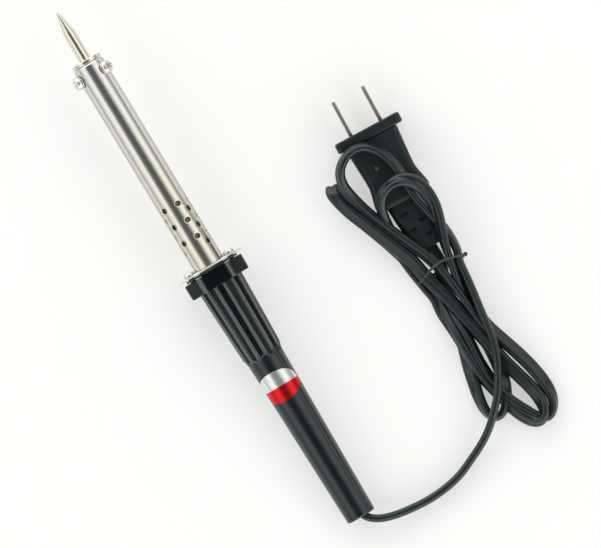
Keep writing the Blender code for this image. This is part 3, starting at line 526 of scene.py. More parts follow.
PICTURE_WIDTH = 226.8 * MM           # what the camera sees across, at the iron's axis
PICTURE_MIDDLE = (132.36, 27.62)     # from the tip, along the iron and across it
RIGHT_ALONG = 0.5177                 # the picture's right has these shares of ALONG and ACROSS
RIGHT_ACROSS = 0.8556
CAMERA_DISTANCE = 2.5
FLOOR_HALF = 2.0
FLOOR_HEIGHT = -0.00004
SKY_STRENGTH = 1.36
END_SKY = (1.6, 1.6, 1.57)
END_SKY_FROM, END_SKY_FULL = 0.42, 0.82
SKY = (                              # angle from the camera's side towards +Y, colour
    (-180.0, (0.55, 0.55, 0.54)),
    (-98.0, (0.45, 0.45, 0.43)),
    (-89.0, (0.20, 0.20, 0.195)),
    (-80.0, (0.50, 0.50, 0.49)),
    (-66.0, (0.76, 0.76, 0.75)),
    (-50.0, (0.95, 0.945, 0.92)),
    (-41.0, (0.95, 0.94, 0.89)),
    (-24.0, (0.15, 0.15, 0.14)),
    (-12.0, (0.085, 0.095, 0.10)),
    (4.0, (0.075, 0.085, 0.09)),
    (15.0, (0.14, 0.145, 0.142)),
    (29.0, (0.70, 0.695, 0.65)),
    (45.0, (1.0, 0.99, 0.935)),
    (54.0, (0.97, 0.96, 0.91)),
    (74.0, (0.36, 0.36, 0.34)),
    (87.0, (0.22, 0.22, 0.21)),
    (98.0, (0.45, 0.45, 0.43)),
    (180.0, (0.55, 0.55, 0.54)),
)


def make_camera():
    """Long lens, square to the iron's axis, turned so that the tip is at the upper left."""
    data = bpy.data.cameras.new("camera")
    data.sensor_width = 36.0
    data.lens = data.sensor_width * CAMERA_DISTANCE / PICTURE_WIDTH
    data.clip_start = 0.05
    data.clip_end = 50.0
    camera = bpy.data.objects.new("camera", data)
    bpy.context.scene.collection.objects.link(camera)
    right = ALONG * RIGHT_ALONG + ACROSS * RIGHT_ACROSS
    up = ACROSS * RIGHT_ALONG - ALONG * RIGHT_ACROSS
    tip = END - ALONG * IRON_LENGTH
    middle = tip + ALONG * PICTURE_MIDDLE[0] + ACROSS * PICTURE_MIDDLE[1]
    turn = Matrix((right, up, FACING)).transposed().to_4x4()
    camera.matrix_world = Matrix.Translation(middle * MM + FACING * CAMERA_DISTANCE) @ turn
    bpy.context.scene.camera = camera


def make_stage():
    """Floor, and a soft studio sky with two long bright panels beside the camera."""
    mesh = bpy.data.meshes.new("floor")
    corners = [
        (x * FLOOR_HALF, y * FLOOR_HALF, FLOOR_HEIGHT) for x, y in ((-1, -1), (1, -1), (1, 1), (-1, 1))
    ]
    mesh.from_pydata(corners, [], [(0, 1, 2, 3)])
    mesh.materials.append(floor_look())
    floor = placed("floor", mesh, Matrix.Identity(4))
    world = bpy.data.worlds.new("studio")
    bpy.context.scene.world = world
    world.use_nodes = True
    tree = world.node_tree
    back = tree.nodes["Background"]
    view = node(tree, "ShaderNodeTexCoord").outputs["Generated"]

    def along(axis):
        product = node(tree, "ShaderNodeVectorMath", {0: view, 1: axis}, operation="DOT_PRODUCT")
        return product.outputs["Value"]

    turn = math_node(tree, "ARCTAN2", along(ACROSS), along(FACING))
    share = scaled(tree, turn, 0.5 / math.pi, 0.5)
    light = ramp(tree, share, [(0.5 + angle / 360.0, colour) for angle, colour in SKY])
    # Beyond both ends of the iron the sky is plain white, which lights the floor.
    end = math_node(tree, "ABSOLUTE", along(ALONG))
    end = node(tree, "ShaderNodeMapRange", {0: end, 1: END_SKY_FROM, 2: END_SKY_FULL},
               interpolation_type="SMOOTHSTEP")
    light = mix(tree, end.outputs[0], light, END_SKY)
    tree.links.new(light, back.inputs["Color"])
    back.inputs["Strength"].default_value = SKY_STRENGTH
    bpy.context.scene.view_settings.view_transform = "Standard"


# Cord

CORD_WIDTH = 5.4
CORD_THICKNESS = 3.0
CORD_STEP = 0.9                      # between the rings of its mesh
CORD_LOWEST = 0.02
UPRIGHT = 0.45                       # level share of a direction below which it counts as upright
# Points of the cord's centre line, and its turn about itself in degrees.  At 0 it
# lies flat, its grooved side up; a positive turn lifts the side on the right of the way it runs.
CORD_ROUTE = (
    (108.4, 0.2, 5.9, -90), (110.3, 0.5, 5.8, -90), (111.8, 1.3, 5.7, -90), (113.3, 2.8, 5.5, -90),
    (114.9, 5.2, 5.2, -90), (116.1, 8.2, 4.8, -90), (117.0, 11.6, 4.2, -90), (118.0, 18.0, 3.4, -90),
    (118.5, 25.5, 2.9, -90), (118.0, 33.0, 2.85, -90), (116.5, 40.0, 2.9, -90), (114.0, 46.0, 3.2, -90),
    (111.5, 51.5, 4.2, -90), (108.5, 56.7, 5.4, -90), (104.9, 61.2, 7.2, -90), (101.7, 64.4, 8.3, -90),
    (98.4, 67.4, 9.0, -90), (94.7, 70.0, 9.2, -90), (90.9, 72.2, 9.2, -90), (86.9, 74.3, 9.2, -90),
    (83.2, 75.9, 9.2, -88), (77.8, 77.3, 9.1, -85), (73.1, 78.0, 8.8, -85), (67.3, 78.8, 8.2, -85),
    (59.1, 80.1, 7.4, -85), (52.9, 80.9, 7.0, -85), (47.0, 81.6, 7.0, -82), (43.9, 82.9, 7.2, -80),
    (40.4, 83.3, 7.5, -78), (36.8, 83.4, 8.0, -75), (32.3, 82.8, 9.0, -70), (27.0, 81.7, 10.2, -65),
    (21.8, 80.6, 11.5, -60), (16.3, 79.8, 12.6, -60), (10.7, 79.6, 13.6, -60), (5.1, 79.5, 14.4, -60),
    (1.8, 78.9, 14.8, -60), (-2.2, 77.6, 15.3, -65), (-5.4, 75.4, 15.8, -68), (-7.7, 72.9, 16.4, -72),
    (-8.6, 69.1, 17.0, -72), (-7.7, 64.7, 17.4, -72), (-5.5, 61.4, 17.2, -70), (-3.3, 59.7, 16.0, -68),
    (-0.4, 58.8, 14.2, -66), (2.1, 58.7, 12.6, -64), (4.3, 59.0, 11.4, -62), (7.4, 59.6, 10.2, -60),
    (11.9, 60.7, 9.2, -60), (16.1, 62.1, 8.9, -60), (19.7, 63.5, 8.9, -60), (23.2, 64.9, 8.9, -60),
    (26.4, 66.2, 8.9, -60), (30.0, 67.7, 8.8, -60), (34.5, 69.7, 8.5, -60), (39.0, 71.6, 8.2, -60),
    (43.6, 73.0, 7.9, -62), (49.3, 74.2, 7.6, -75), (57.6, 75.4, 7.2, -95), (64.4, 76.4, 6.6, -120),
    (69.9, 77.3, 5.8, -145), (74.8, 78.1, 5.0, -158), (80.3, 79.8, 4.8, -160), (87.9, 82.2, 4.8, -160),
    (95.2, 84.1, 4.6, -158), (102.0, 85.2, 4.0, -150), (107.9, 85.3, 3.4, -130),
    (111.8, 84.1, 2.95, -105), (114.6, 81.9, 2.9, -92), (115.4, 79.3, 2.9, -88), (113.0, 77.1, 2.9, -88),
    (110.0, 75.3, 2.9, -86), (106.3, 73.4, 2.9, -84), (102.0, 71.3, 3.0, -80), (96.6, 69.9, 3.2, -75),
    (90.4, 68.9, 3.8, -72), (87.0, 68.7, 4.4, -72), (82.7, 68.7, 5.0, -72), (78.2, 69.1, 5.2, -72),
    (73.1, 69.4, 4.8, -68), (67.6, 69.5, 3.6, -55), (61.9, 69.6, 2.2, -20), (56.4, 69.3, 1.6, 0),
    (51.7, 68.5, 1.5, 0), (45.5, 67.0, 1.5, 0), (38.4, 65.3, 1.5, 0), (30.9, 63.3, 1.5, 0),
    (22.9, 60.7, 1.5, 0), (15.0, 58.0, 1.5, 0), (8.4, 56.4, 1.6, 0), (2.6, 55.5, 2.2, 0),
    (-1.2, 54.8, 4.2, 0), (0.4, 53.7, 6.6, -5), (3.3, 54.1, 7.0, -15), (5.9, 54.6, 7.1, -22),
    (8.8, 55.3, 7.1, -24), (12.4, 56.5, 7.2, -24), (17.5, 58.5, 7.3, -24), (22.3, 60.2, 7.3, -24),
    (26.9, 62.1, 7.2, -24), (31.6, 63.9, 7.0, -24), (35.3, 65.4, 6.7, -24), (39.1, 66.5, 6.3, -22),
    (42.4, 67.0, 5.9, -20), (45.5, 67.5, 5.6, -16), (52.0, 69.4, 5.2, -14), (59.3, 71.2, 5.0, -14),
    (66.2, 72.2, 4.8, -14), (71.5, 73.2, 4.6, -14), (76.7, 74.2, 4.5, -14), (82.3, 75.2, 4.4, -14),
    (90.1, 76.8, 4.4, -14), (96.0, 78.4, 4.3, -14), (101.9, 79.9, 4.2, -16), (106.9, 80.6, 4.6, -30),
    (111.5, 80.0, 5.2, -60), (114.2, 78.9, 5.0, -90), (115.1, 76.8, 4.0, -110), (114.0, 74.4, 3.2, -122),
    (110.4, 71.9, 2.9, -126), (105.3, 69.8, 2.9, -126), (100.4, 68.7, 3.0, -120),
    (95.1, 67.2, 3.2, -112), (89.9, 66.0, 3.8, -108), (84.5, 65.8, 4.8, -108), (77.7, 65.8, 5.4, -108),
    (71.8, 65.9, 5.0, -108), (65.6, 66.0, 3.6, -125), (59.8, 66.2, 2.2, -160), (55.0, 67.0, 1.6, -180),
    (48.7, 66.1, 1.6, -180), (41.8, 65.1, 2.6, -180), (35.5, 64.5, 3.9, -180), (29.8, 64.3, 4.4, -175),
    (25.1, 64.5, 4.8, -155), (21.7, 65.2, 6.8, -130), (19.3, 65.6, 9.4, -120), (16.8, 66.1, 11.6, -115),
    (14.4, 67.0, 13.6, -115), (12.3, 68.5, 15.2, -115), (10.9, 70.4, 16.2, -118),
    (9.9, 73.2, 17.2, -124), (9.8, 76.6, 17.6, -140), (10.7, 79.4, 17.4, -160), (12.5, 81.4, 16.8, -180),
    (15.1, 83.2, 16.0, -198), (18.0, 84.2, 15.2, -208), (21.7, 84.5, 14.4, -216),
    (25.8, 84.2, 13.4, -226), (30.3, 83.0, 12.2, -236), (34.9, 81.5, 11.0, -244),
    (39.5, 80.0, 9.8, -252), (43.4, 79.2, 8.8, -270), (50.0, 78.3, 7.6, -300), (57.0, 77.6, 5.8, -330),
    (64.1, 76.6, 4.4, -345), (70.7, 75.5, 3.2, -355), (76.5, 74.8, 1.8, -360), (82.3, 74.6, 1.5, -360),
    (87.2, 74.1, 1.5, -360), (91.2, 73.4, 1.5, -358), (95.2, 72.2, 1.7, -345), (98.6, 70.9, 2.2, -320),
    (101.8, 69.3, 2.7, -295), (104.6, 66.6, 2.9, -275), (105.6, 63.7, 2.9, -270),
    (104.0, 61.5, 2.9, -275), (100.7, 60.7, 2.8, -290), (95.4, 61.1, 2.5, -310), (89.1, 62.5, 2.2, -322),
    (83.9, 63.9, 1.8, -335), (79.5, 65.3, 1.5, -350), (75.1, 66.7, 1.5, -360), (69.9, 68.3, 1.5, -360),
    (64.5, 69.8, 1.5, -360), (59.5, 71.0, 1.8, -360), (54.1, 72.2, 2.4, -360), (47.6, 73.6, 3.0, -360),
    (43.2, 75.2, 3.6, -360), (40.3, 75.0, 3.8, -360), (37.7, 75.0, 4.0, -360), (34.0, 75.0, 4.4, -360),
)


def cord_section():
    """Section of the twin cord: two round lobes, a deep groove above and a slight one below."""
    radius = CORD_THICKNESS / 2.0
    offset = CORD_WIDTH / 2.0 - radius
    right = []
    for part in range(14):
        angle = math.radians(112.0 - part * 204.0 / 13.0)
        right.append((offset + radius * math.cos(angle), radius * math.sin(angle)))
    points = [(0.0, 1.12)] + right + [
        (offset * 0.42, -radius * 0.985), (0.0, -radius * 0.97), (-offset * 0.42, -radius * 0.985),
    ]
    points += [(-x, y) for x, y in reversed(right)]
    return points


def cord_sides(tangents):
    """The cord's sideways direction at every point: level, but carried over where it stands upright."""
    known = []
    sign = 1.0
    for index, tangent in enumerate(tangents):
        flat = Vector((tangent.y, -tangent.x, 0.0))
        if flat.length <= UPRIGHT:
            continue
        flat = flat / flat.length
        if known and flat.dot(known[-1][2]) < 0.0 and index - known[-1][0] > 1:
            sign = -sign
        known.append((index, flat * sign, flat))
    sides = []
    after = 0
    for index in range(len(tangents)):
        while after < len(known) - 1 and known[after][0] < index:
            after += 1
        last, side, _ = known[after]
        if last != index and after:
            first, before, _ = known[after - 1]
            share = (index - first) / (last - first)
            side = (before * (1.0 - share) + side * share).normalized()
        sides.append(side)
    return sides


def make_cord(look):
    """The whole cord as one mesh, swept along its route; also its centre line and length."""
    line, places = curve_through([Vector(stop[:3]) for stop in CORD_ROUTE], CORD_STEP)
    line = smoothed(line, 5)
    turns = []
    for place in places:
        index = min(int(place), len(CORD_ROUTE) - 2)
        share = place - index
        turns.append(CORD_ROUTE[index][3] * (1.0 - share) + CORD_ROUTE[index + 1][3] * share)
    turns = smoothed(turns, 8)
    ends = [line[0]] + line + [line[-1]]
    tangents = [(ahead - behind).normalized() for behind, ahead in zip(ends, ends[2:])]
    section = cord_section()
    rings = []
    for point, tangent, side, turn in zip(line, tangents, cord_sides(tangents), turns):
        side = (side - tangent * side.dot(tangent)).normalized()
        lift = side.cross(tangent)
        angle = math.radians(turn)
        across = side * math.cos(angle) + lift * math.sin(angle)
        above = lift * math.cos(angle) - side * math.sin(angle)
        rings.append([point + across * x + above * y for x, y in section])
    for ring in rings:
        for corner in ring:
            corner.z = max(corner.z, CORD_LOWEST)
    verts, faces = loft(rings)
    cord = piece(
        "power_cord", verts, faces, look, matrix=Matrix.Identity(4), slot="black_vinyl", sharp=50.0,
        stands_for=("cord_lead", "cord_outer_loop", "cord_inner_loop", "cord_hank", "plug_lead"),
    )
    length = sum((b - a).length for a, b in zip(line, line[1:]))
    return cord, line, length


TIE_RADIUS = 0.52
TIE_SIDES = 12
TIE_ROUTE = (
    (46.9, 64.3, 2.6), (46.9, 64.2, 5.0), (46.6, 65.2, 6.7), (45.9, 67.4, 7.0), (45.1, 69.4, 8.6),
    (44.6, 71.4, 10.6), (44.3, 73.6, 11.4), (44.3, 76.0, 11.9), (44.7, 78.4, 11.9), (45.3, 80.6, 10.9),
    (45.9, 82.6, 10.3), (46.3, 84.2, 8.6), (46.4, 84.7, 6.6), (46.4, 84.2, 4.2), (46.4, 82.0, 2.0),
    (46.4, 78.0, 0.68), (46.4, 72.0, 0.68), (46.4, 67.0, 0.68), (46.7, 64.8, 0.9),
)
TIE_KNOBS = ((47.0, 63.9, 6.0), (46.4, 84.9, 8.2))
KNOB_RADIUS = 0.85


def make_tie(look):
    """Wire tie drawn tight round the hank, its two ends nipped into small knobs."""
    line, _ = curve_through([Vector(point) for point in TIE_ROUTE + TIE_ROUTE[:3]], 0.5)
    seam = Vector(TIE_ROUTE[1])
    at_seam = [index for index, point in enumerate(line) if (point - seam).length < 0.01]
    line = line[at_seam[0]:at_seam[-1]]
    verts, faces = [], []
    count = len(line)
    for index, point in enumerate(line):
        tangent = (line[(index + 1) % count] - line[index - 1]).normalized()
        out = tangent.cross(Vector((1.0, 0.0, 0.0))).normalized()
        flat = tangent.cross(out)
        for side in range(TIE_SIDES):
            angle = 2.0 * math.pi * side / TIE_SIDES
            verts.append(point + (out * math.cos(angle) + flat * math.sin(angle)) * TIE_RADIUS)
    for index in range(count):
        a, b = index * TIE_SIDES, (index + 1) % count * TIE_SIDES
        for side in range(TIE_SIDES):
            after = (side + 1) % TIE_SIDES
            faces.append((a + side, b + side, b + after, a + after))
    for centre in TIE_KNOBS:
        begin = len(verts)
        knob = bmesh.new()
        bmesh.ops.create_icosphere(knob, subdivisions=3, radius=KNOB_RADIUS)
        for vert in knob.verts:
            verts.append(Vector(centre) + Vector((vert.co.x, vert.co.y * 0.9, vert.co.z * 0.8)))
        faces.extend(tuple(begin + corner.index for corner in face.verts) for face in knob.faces)
        knob.free()
    return piece("hank_tie", verts, faces, look, matrix=Matrix.Identity(4), stands_for=("cord_tie",),
                 slot="tie_wire")


# Plug

# Sections of the plug: height, half thickness, half width, corner radius.
FLANGE_SECTIONS = (
    (0.0, 6.5, 12.9, 1.5), (-0.15, 6.85, 13.25, 1.7), (-0.5, 7.15, 13.55, 1.9), (-0.9, 7.2, 13.6, 1.9),
    (-3.3, 7.2, 13.6, 1.9), (-3.7, 7.1, 13.5, 1.9), (-3.95, 6.85, 13.25, 1.8), (-4.0, 6.5, 12.9, 1.6),
)
BODY_SECTIONS = (
    (-3.9, 5.5, 10.4, 1.8), (-4.3, 5.5, 10.4, 1.8), (-4.35, 5.9, 10.8, 2.0), (-4.5, 6.05, 10.95, 2.1),
    (-5.0, 6.0, 10.75, 2.2), (-11.0, 5.8, 10.3, 2.2), (-18.0, 5.4, 9.8, 2.2),
    (-21.0, 5.25, 9.75, 2.2), (-23.0, 5.2, 10.1, 2.2), (-25.0, 5.1, 10.55, 2.2), (-27.0, 5.0, 11.05, 2.2),
    (-28.6, 4.95, 11.35, 2.3), (-29.6, 4.85, 11.2, 2.4), (-30.3, 4.7, 10.6, 2.6), (-30.9, 4.4, 9.4, 3.0),
    (-31.15, 4.1, 8.4, 3.0),
)
RELIEF_SECTIONS = (
    (-31.0, 4.1, 7.6, 2.4), (-34.0, 4.0, 7.3, 2.4), (-38.0, 3.9, 7.0, 2.4), (-42.0, 3.7, 6.5, 2.4),
    (-45.0, 3.5, 6.0, 2.4), (-50.0, 3.3, 5.7, 2.4), (-50.7, 3.15, 5.5, 2.3), (-51.0, 2.9, 5.2, 2.2),
)


def section_ring(height, half_x, half_y, corner):
    """A ring of points for a lofted plug part."""
    return [Vector((x, y, height)) for x, y in rounded_section(half_x, half_y, corner)]


def box_cutter(name, centre, size, matrix):
    """A box used only to cut, in mm."""
    verts = [
        (centre[0] + sx * size[0] / 2.0, centre[1] + sy * size[1] / 2.0, centre[2] + sz * size[2] / 2.0)
        for sz in (-1, 1) for sy in (-1, 1) for sx in (-1, 1)
    ]
    faces = [(0, 1, 3, 2), (4, 6, 7, 5), (0, 4, 5, 1), (2, 3, 7, 6), (0, 2, 6, 4), (1, 5, 7, 3)]
    return placed(name, mesh_of(name, verts, faces), matrix)


RELIEF_SLOTS = (                     # height, side, how far out the slot is centred
    (-35.5, -1.0, 3.9), (-40.1, 1.0, 3.9), (-42.3, -1.0, 3.6), (-46.2, 1.0, 3.5),
)
SLOT_SIZE = (2.8, 3.8, 1.5)
GATE_MARK = (5.55, -3.5, -15.2)
GATE_RADIUS, GATE_HEIGHT = 0.8, 0.34
BLADE_LENGTH, BLADE_WIDTH, BLADE_THICKNESS = 15.6, 6.35, 1.5
BLADE_OFFSET = 6.35                  # from the plug's axis to a blade's middle
HOLE_RADIUS, HOLE_HEIGHT = 1.55, 11.9


def make_plug(look, metal, gloss):
    """Flange, body with flared shoulder, slotted strain relief, gate mark and two blades."""
    pieces = []
    for name, sections, stands_for in (
        ("plug_flange", FLANGE_SECTIONS, ()), ("plug_moulding", BODY_SECTIONS, ("plug_body",)),
        ("plug_relief", RELIEF_SECTIONS, ("plug_strain_relief",)),
    ):
        verts, faces = loft([section_ring(*stop) for stop in sections])
        pieces.append(piece(name, verts, faces, look, matrix=PLUG_AXIS, stands_for=stands_for,
                            slot="black_vinyl"))
    cutters = [
        box_cutter("slot", (face * reach, side * 3.0, height), SLOT_SIZE, PLUG_AXIS)
        for height, side, reach in RELIEF_SLOTS for face in (-1.0, 1.0)
    ]
    cut(pieces[-1], cutters, rim=0.12)
    dome = [(0.0, GATE_HEIGHT)] + [
        (GATE_RADIUS * math.sin(t * math.pi / 12.0), GATE_HEIGHT * math.cos(t * math.pi / 12.0))
        for t in range(1, 7)
    ] + [(GATE_RADIUS, -0.4), (0.0, -0.4)]
    place = PLUG_AXIS @ Matrix.Translation(Vector(GATE_MARK) * MM) @ Euler(
        (0.0, math.pi / 2.0, 0.0)).to_matrix().to_4x4()
    pieces.append(turned("plug_gate_mark", dome, gloss, 24, matrix=place, slot="black_vinyl"))
    for number, side in ((1, -1.0), (2, 1.0)):
        pieces.append(make_blade(number, side * BLADE_OFFSET, metal))
    return pieces


def make_blade(number, offset, metal):
    """One blade: bevelled end, latch hole with a soft rim."""
    sections = []
    for height, width, thickness in (
        (-0.6, BLADE_WIDTH, BLADE_THICKNESS), (BLADE_LENGTH - 1.3, BLADE_WIDTH, BLADE_THICKNESS),
        (BLADE_LENGTH - 0.5, BLADE_WIDTH - 0.5, BLADE_THICKNESS - 0.45),
        (BLADE_LENGTH, BLADE_WIDTH - 1.3, BLADE_THICKNESS - 1.0),
    ):
        outline = rounded_section(width / 2.0, thickness / 2.0, 0.16, 3)
        sections.append([Vector((x, y + offset, height)) for x, y in outline])
    verts, faces = loft(sections)
    blade = piece(f"blade_{number}", verts, faces, metal, matrix=PLUG_AXIS,
                  stands_for=(f"plug_blade_{number}",), slot="plug_brass")
    circle = [(HOLE_RADIUS * math.cos(t * math.pi / 16.0), HOLE_RADIUS * math.sin(t * math.pi / 16.0))
              for t in range(32)]
    verts, faces = loft([[(x, offset + end, HOLE_HEIGHT + z) for x, z in circle] for end in (-3.0, 3.0)])
    hole = placed("blade_hole", mesh_of("blade_hole", verts, faces), PLUG_AXIS)
    return cut(blade, [hole], rim=0.1)


# Hot end

def make_tip(look):
    """Plated rod with a pencil point."""
    top = IRON_LENGTH
    bottom = top - TIP_LENGTH
    profile = [(0.0, top), (0.16, top - 0.05), (0.3, top - 0.25), (0.42, top - 0.7)]
    for step in range(1, 13):
        t = step / 12.0
        profile.append((0.42 + (2.2 - 0.42) * (t * 1.06 - 0.06 * t * t), top - 0.7 - 8.3 * t))
    profile += [(2.29, top - 9.5), (2.32, top - 10.2)]
    profile += [(TIP_RADIUS, top - 12.0 - step * 5.5) for step in range(12)]
    profile += [(TIP_RADIUS, bottom + 0.5), (2.1, bottom + 0.15), (1.8, bottom), (0.0, bottom)]
    return turned("soldering_tip", profile, look, body="tip", stands_for=("tip",), slot="tip_plate",
                  sharp=25.0)


def make_cap(look):
    """Flanged bush in the barrel's mouth."""
    outline = [
        (2.75, 201.2), (6.12, 201.2), (6.12, 199.75), (5.25, 199.7), (5.25, 187.2), (2.65, 187.2),
        (2.65, 200.9),
    ]
    profile = rounded(outline, [0.25, 0.55, 0.3, 0.05, 0.3, 0.1, 0.1], 5)
    turned("cap", profile, look, closed=True, stands_for=("front_cap",), slot="nickel")


TIP_LENGTH = 75.0
TIP_RADIUS = 2.33
BARREL_RADIUS = 6.1
BARREL_INNER = 5.6
BARREL_LOW, BARREL_HIGH = 110.9, 199.4
BARREL_COLUMNS = 12                  # strips along the barrel; all but the first have vents
COLUMN_ANGLE = 360.0 / BARREL_COLUMNS
COLUMN_START = -12.6
COLUMN_PARTS = 8                     # faces across a strip, and up one pitch of vents
VENT_RADIUS = 1.15
VENT_PITCH = 7.13
VENT_TOP = 136.9
VENT_ROWS = 3
VENT_RIM = (                         # barrel radius and hole radius, from outside in
    (BARREL_RADIUS, None), (BARREL_RADIUS, 1.75), (BARREL_RADIUS, 1.42), (BARREL_RADIUS - 0.015, 1.27),
    (BARREL_RADIUS - 0.09, VENT_RADIUS + 0.02), (BARREL_RADIUS - 0.2, VENT_RADIUS),
    (BARREL_INNER, VENT_RADIUS), (BARREL_INNER, 1.6), (BARREL_INNER, None),
)
FRONT_RIM = (                        # barrel radius, and how far it is below the front edge
    (BARREL_RADIUS, 1.0), (BARREL_RADIUS - 0.03, 0.72), (BARREL_RADIUS - 0.12, 0.42),
    (BARREL_RADIUS - 0.28, 0.15), (BARREL_RADIUS - 0.45, 0.02), (BARREL_INNER, 0.2), (BARREL_INNER, 1.0),
)


def make_barrel(look):
    """Thin tube whose lower end has staggered vents with turned-in rims."""
    step = VENT_PITCH / COLUMN_PARTS
    base = VENT_TOP - 0.5 * VENT_PITCH - 40 * step
    verts, faces = [], []
    numbers = {}

    def vert(degrees, radius, height):
        key = (round(degrees % 360.0, 4), round(radius, 4), round(height, 4))
        if key not in numbers:
            turn = math.radians(degrees)
            numbers[key] = len(verts)
            verts.append((radius * math.cos(turn), radius * math.sin(turn), height))
        return numbers[key]

    def band(left, parts, lower, upper):
        """A row of faces between two (radius, height) rings."""
        for part in range(parts):
            a = left + part * COLUMN_ANGLE / COLUMN_PARTS
            b = a + COLUMN_ANGLE / COLUMN_PARTS
            faces.append((vert(a, *lower), vert(b, *lower), vert(b, *upper), vert(a, *upper)))

    def wall(left, bottom, top, radius):
        """Plain wall of one strip, its rows in line with the vents' frames."""
        levels = [bottom]
        level = math.ceil(round((bottom - base) / step, 6) + 1e-6) * step + base
        while level < top - 1e-6:
            levels.append(level)
            level += step
        for lower, upper in zip(levels, levels[1:] + [top]):
            band(left, COLUMN_PARTS, (radius, lower), (radius, upper))

    def vent(centre, height):
        """A square frame of both walls, its hole and the rim between them."""
        spokes = 4 * COLUMN_PARTS
        rings = []
        for radius, hole in VENT_RIM:
            ring = []
            for spoke in range(spokes):
                leg, part = divmod(spoke, COLUMN_PARTS)
                u = part / COLUMN_PARTS
                x, y = ((-1 + 2 * u, -1), (1, -1 + 2 * u), (1 - 2 * u, 1), (-1, 1 - 2 * u))[leg]
                if hole is None:
                    aside, rise = x * COLUMN_ANGLE / 2.0, y * VENT_PITCH / 2.0
                else:
                    reach = math.hypot(x, y)
                    aside, rise = math.degrees(x / reach * hole / BARREL_RADIUS), y / reach * hole
                ring.append(vert(centre + aside, radius, height + rise))
            rings.append(ring)
        for outer, inner in zip(rings, rings[1:]):
            for spoke in range(spokes):
                after = (spoke + 1) % spokes
                faces.append((outer[spoke], outer[after], inner[after], inner[spoke]))

    for column in range(BARREL_COLUMNS):
        centre = COLUMN_START + COLUMN_ANGLE * column
        left = centre - COLUMN_ANGLE / 2.0
        vents = []
        if column:
            shift = 0.0 if column % 2 else VENT_PITCH / 2.0
            vents = [VENT_TOP - shift - row * VENT_PITCH for row in range(VENT_ROWS)]
        for radius in (BARREL_RADIUS, BARREL_INNER):
            if vents:
                wall(left, BARREL_LOW, vents[-1] - VENT_PITCH / 2.0, radius)
                wall(left, vents[0] + VENT_PITCH / 2.0, BARREL_HIGH - 1.0, radius)
            else:
                wall(left, BARREL_LOW, BARREL_HIGH - 1.0, radius)
        for height in vents:
            vent(centre, height)
    front = [(radius, BARREL_HIGH - drop) for radius, drop in FRONT_RIM]
    rear = [(BARREL_RADIUS, BARREL_LOW), (BARREL_INNER, BARREL_LOW)]
    for rim in (front, rear):
        for lower, upper in zip(rim, rim[1:]):
            band(COLUMN_START - COLUMN_ANGLE / 2.0, BARREL_COLUMNS * COLUMN_PARTS, lower, upper)
    piece("barrel_tube", verts, faces, look, stands_for=("barrel",), slot="nickel", sharp=40.0)


def pan_head(name, head_radius, head_height, shank_radius, shank, look, matrix, **more):
    """Pan head screw with a tapered cross recess."""
    profile = [
        (head_radius * reach, head_height * rise) for reach, rise in ((0.0, 1.0), (0.3, 0.99), (0.55, 0.93))
    ]
    for step in range(9):
        turn = math.radians(20.0 + step * 70.0 / 8.0)
        profile.append((
            head_radius * (0.58 + 0.42 * math.sin(turn)), head_height * (0.28 + 0.66 * math.cos(turn)),
        ))
    profile += [(head_radius, 0.12), (head_radius * 0.96, 0.0), (shank_radius, 0.0),
                (shank_radius, -shank + 0.5), (shank_radius - 0.35, -shank), (0.0, -shank)]
    screw = turned(name, profile, look, 64, matrix=matrix, slot="screw_steel", **more)
    low = (head_radius * 0.36, head_radius * 0.10, head_height * 0.25)
    top = (head_radius * 0.72, head_radius * 0.17, head_height * 1.1)
    verts = [(sx * x, sy * y, height) for x, y, height in (low, top)
             for sx, sy in ((-1, -1), (1, -1), (1, 1), (-1, 1))]
    faces = [(3, 2, 1, 0), (4, 5, 6, 7), (0, 1, 5, 4), (1, 2, 6, 5), (2, 3, 7, 6), (3, 0, 4, 7)]
    cutters = [
        placed("recess", mesh_of("recess", verts, faces), matrix @ Matrix.Rotation(turn, 4, "Z"))
        for turn in (0.0, math.pi / 2.0)
    ]
    return cut(screw, cutters, rim=0.06)


CLAMP_HEIGHT = 194.9
CLAMP_ANGLES = (50.0, 170.0, 290.0)
CLAMP_SEAT = 6.95


def make_clamps(look):
    """Three radial screws and their washers."""
    for number, angle in enumerate(CLAMP_ANGLES, 1):
        outward = AXIS @ Matrix.Translation((0.0, 0.0, CLAMP_HEIGHT * MM)) @ Euler(
            (0.0, math.pi / 2.0, math.radians(angle))).to_matrix().to_4x4()
        seat = outward @ Matrix.Translation((0.0, 0.0, CLAMP_SEAT * MM)) @ Matrix.Rotation(
            math.radians(20.0 + 17.0 * number), 4, "Z")
        pan_head(f"clamp_pan_{number}", 2.6, 1.9, 1.45, 4.2, look, seat, body=f"clamp_screw_{number}",
                 stands_for=(f"clamp_screw_{number}",))
        outline = [(2.55, 6.62), (2.55, 6.28), (1.8, 6.28), (1.8, 6.78)]
        turned(f"clamp_ring_{number}", rounded(outline, 0.12, 3), look, 48, closed=True,
               matrix=outward, stands_for=(f"clamp_washer_{number}",), slot="screw_steel")


# Middle

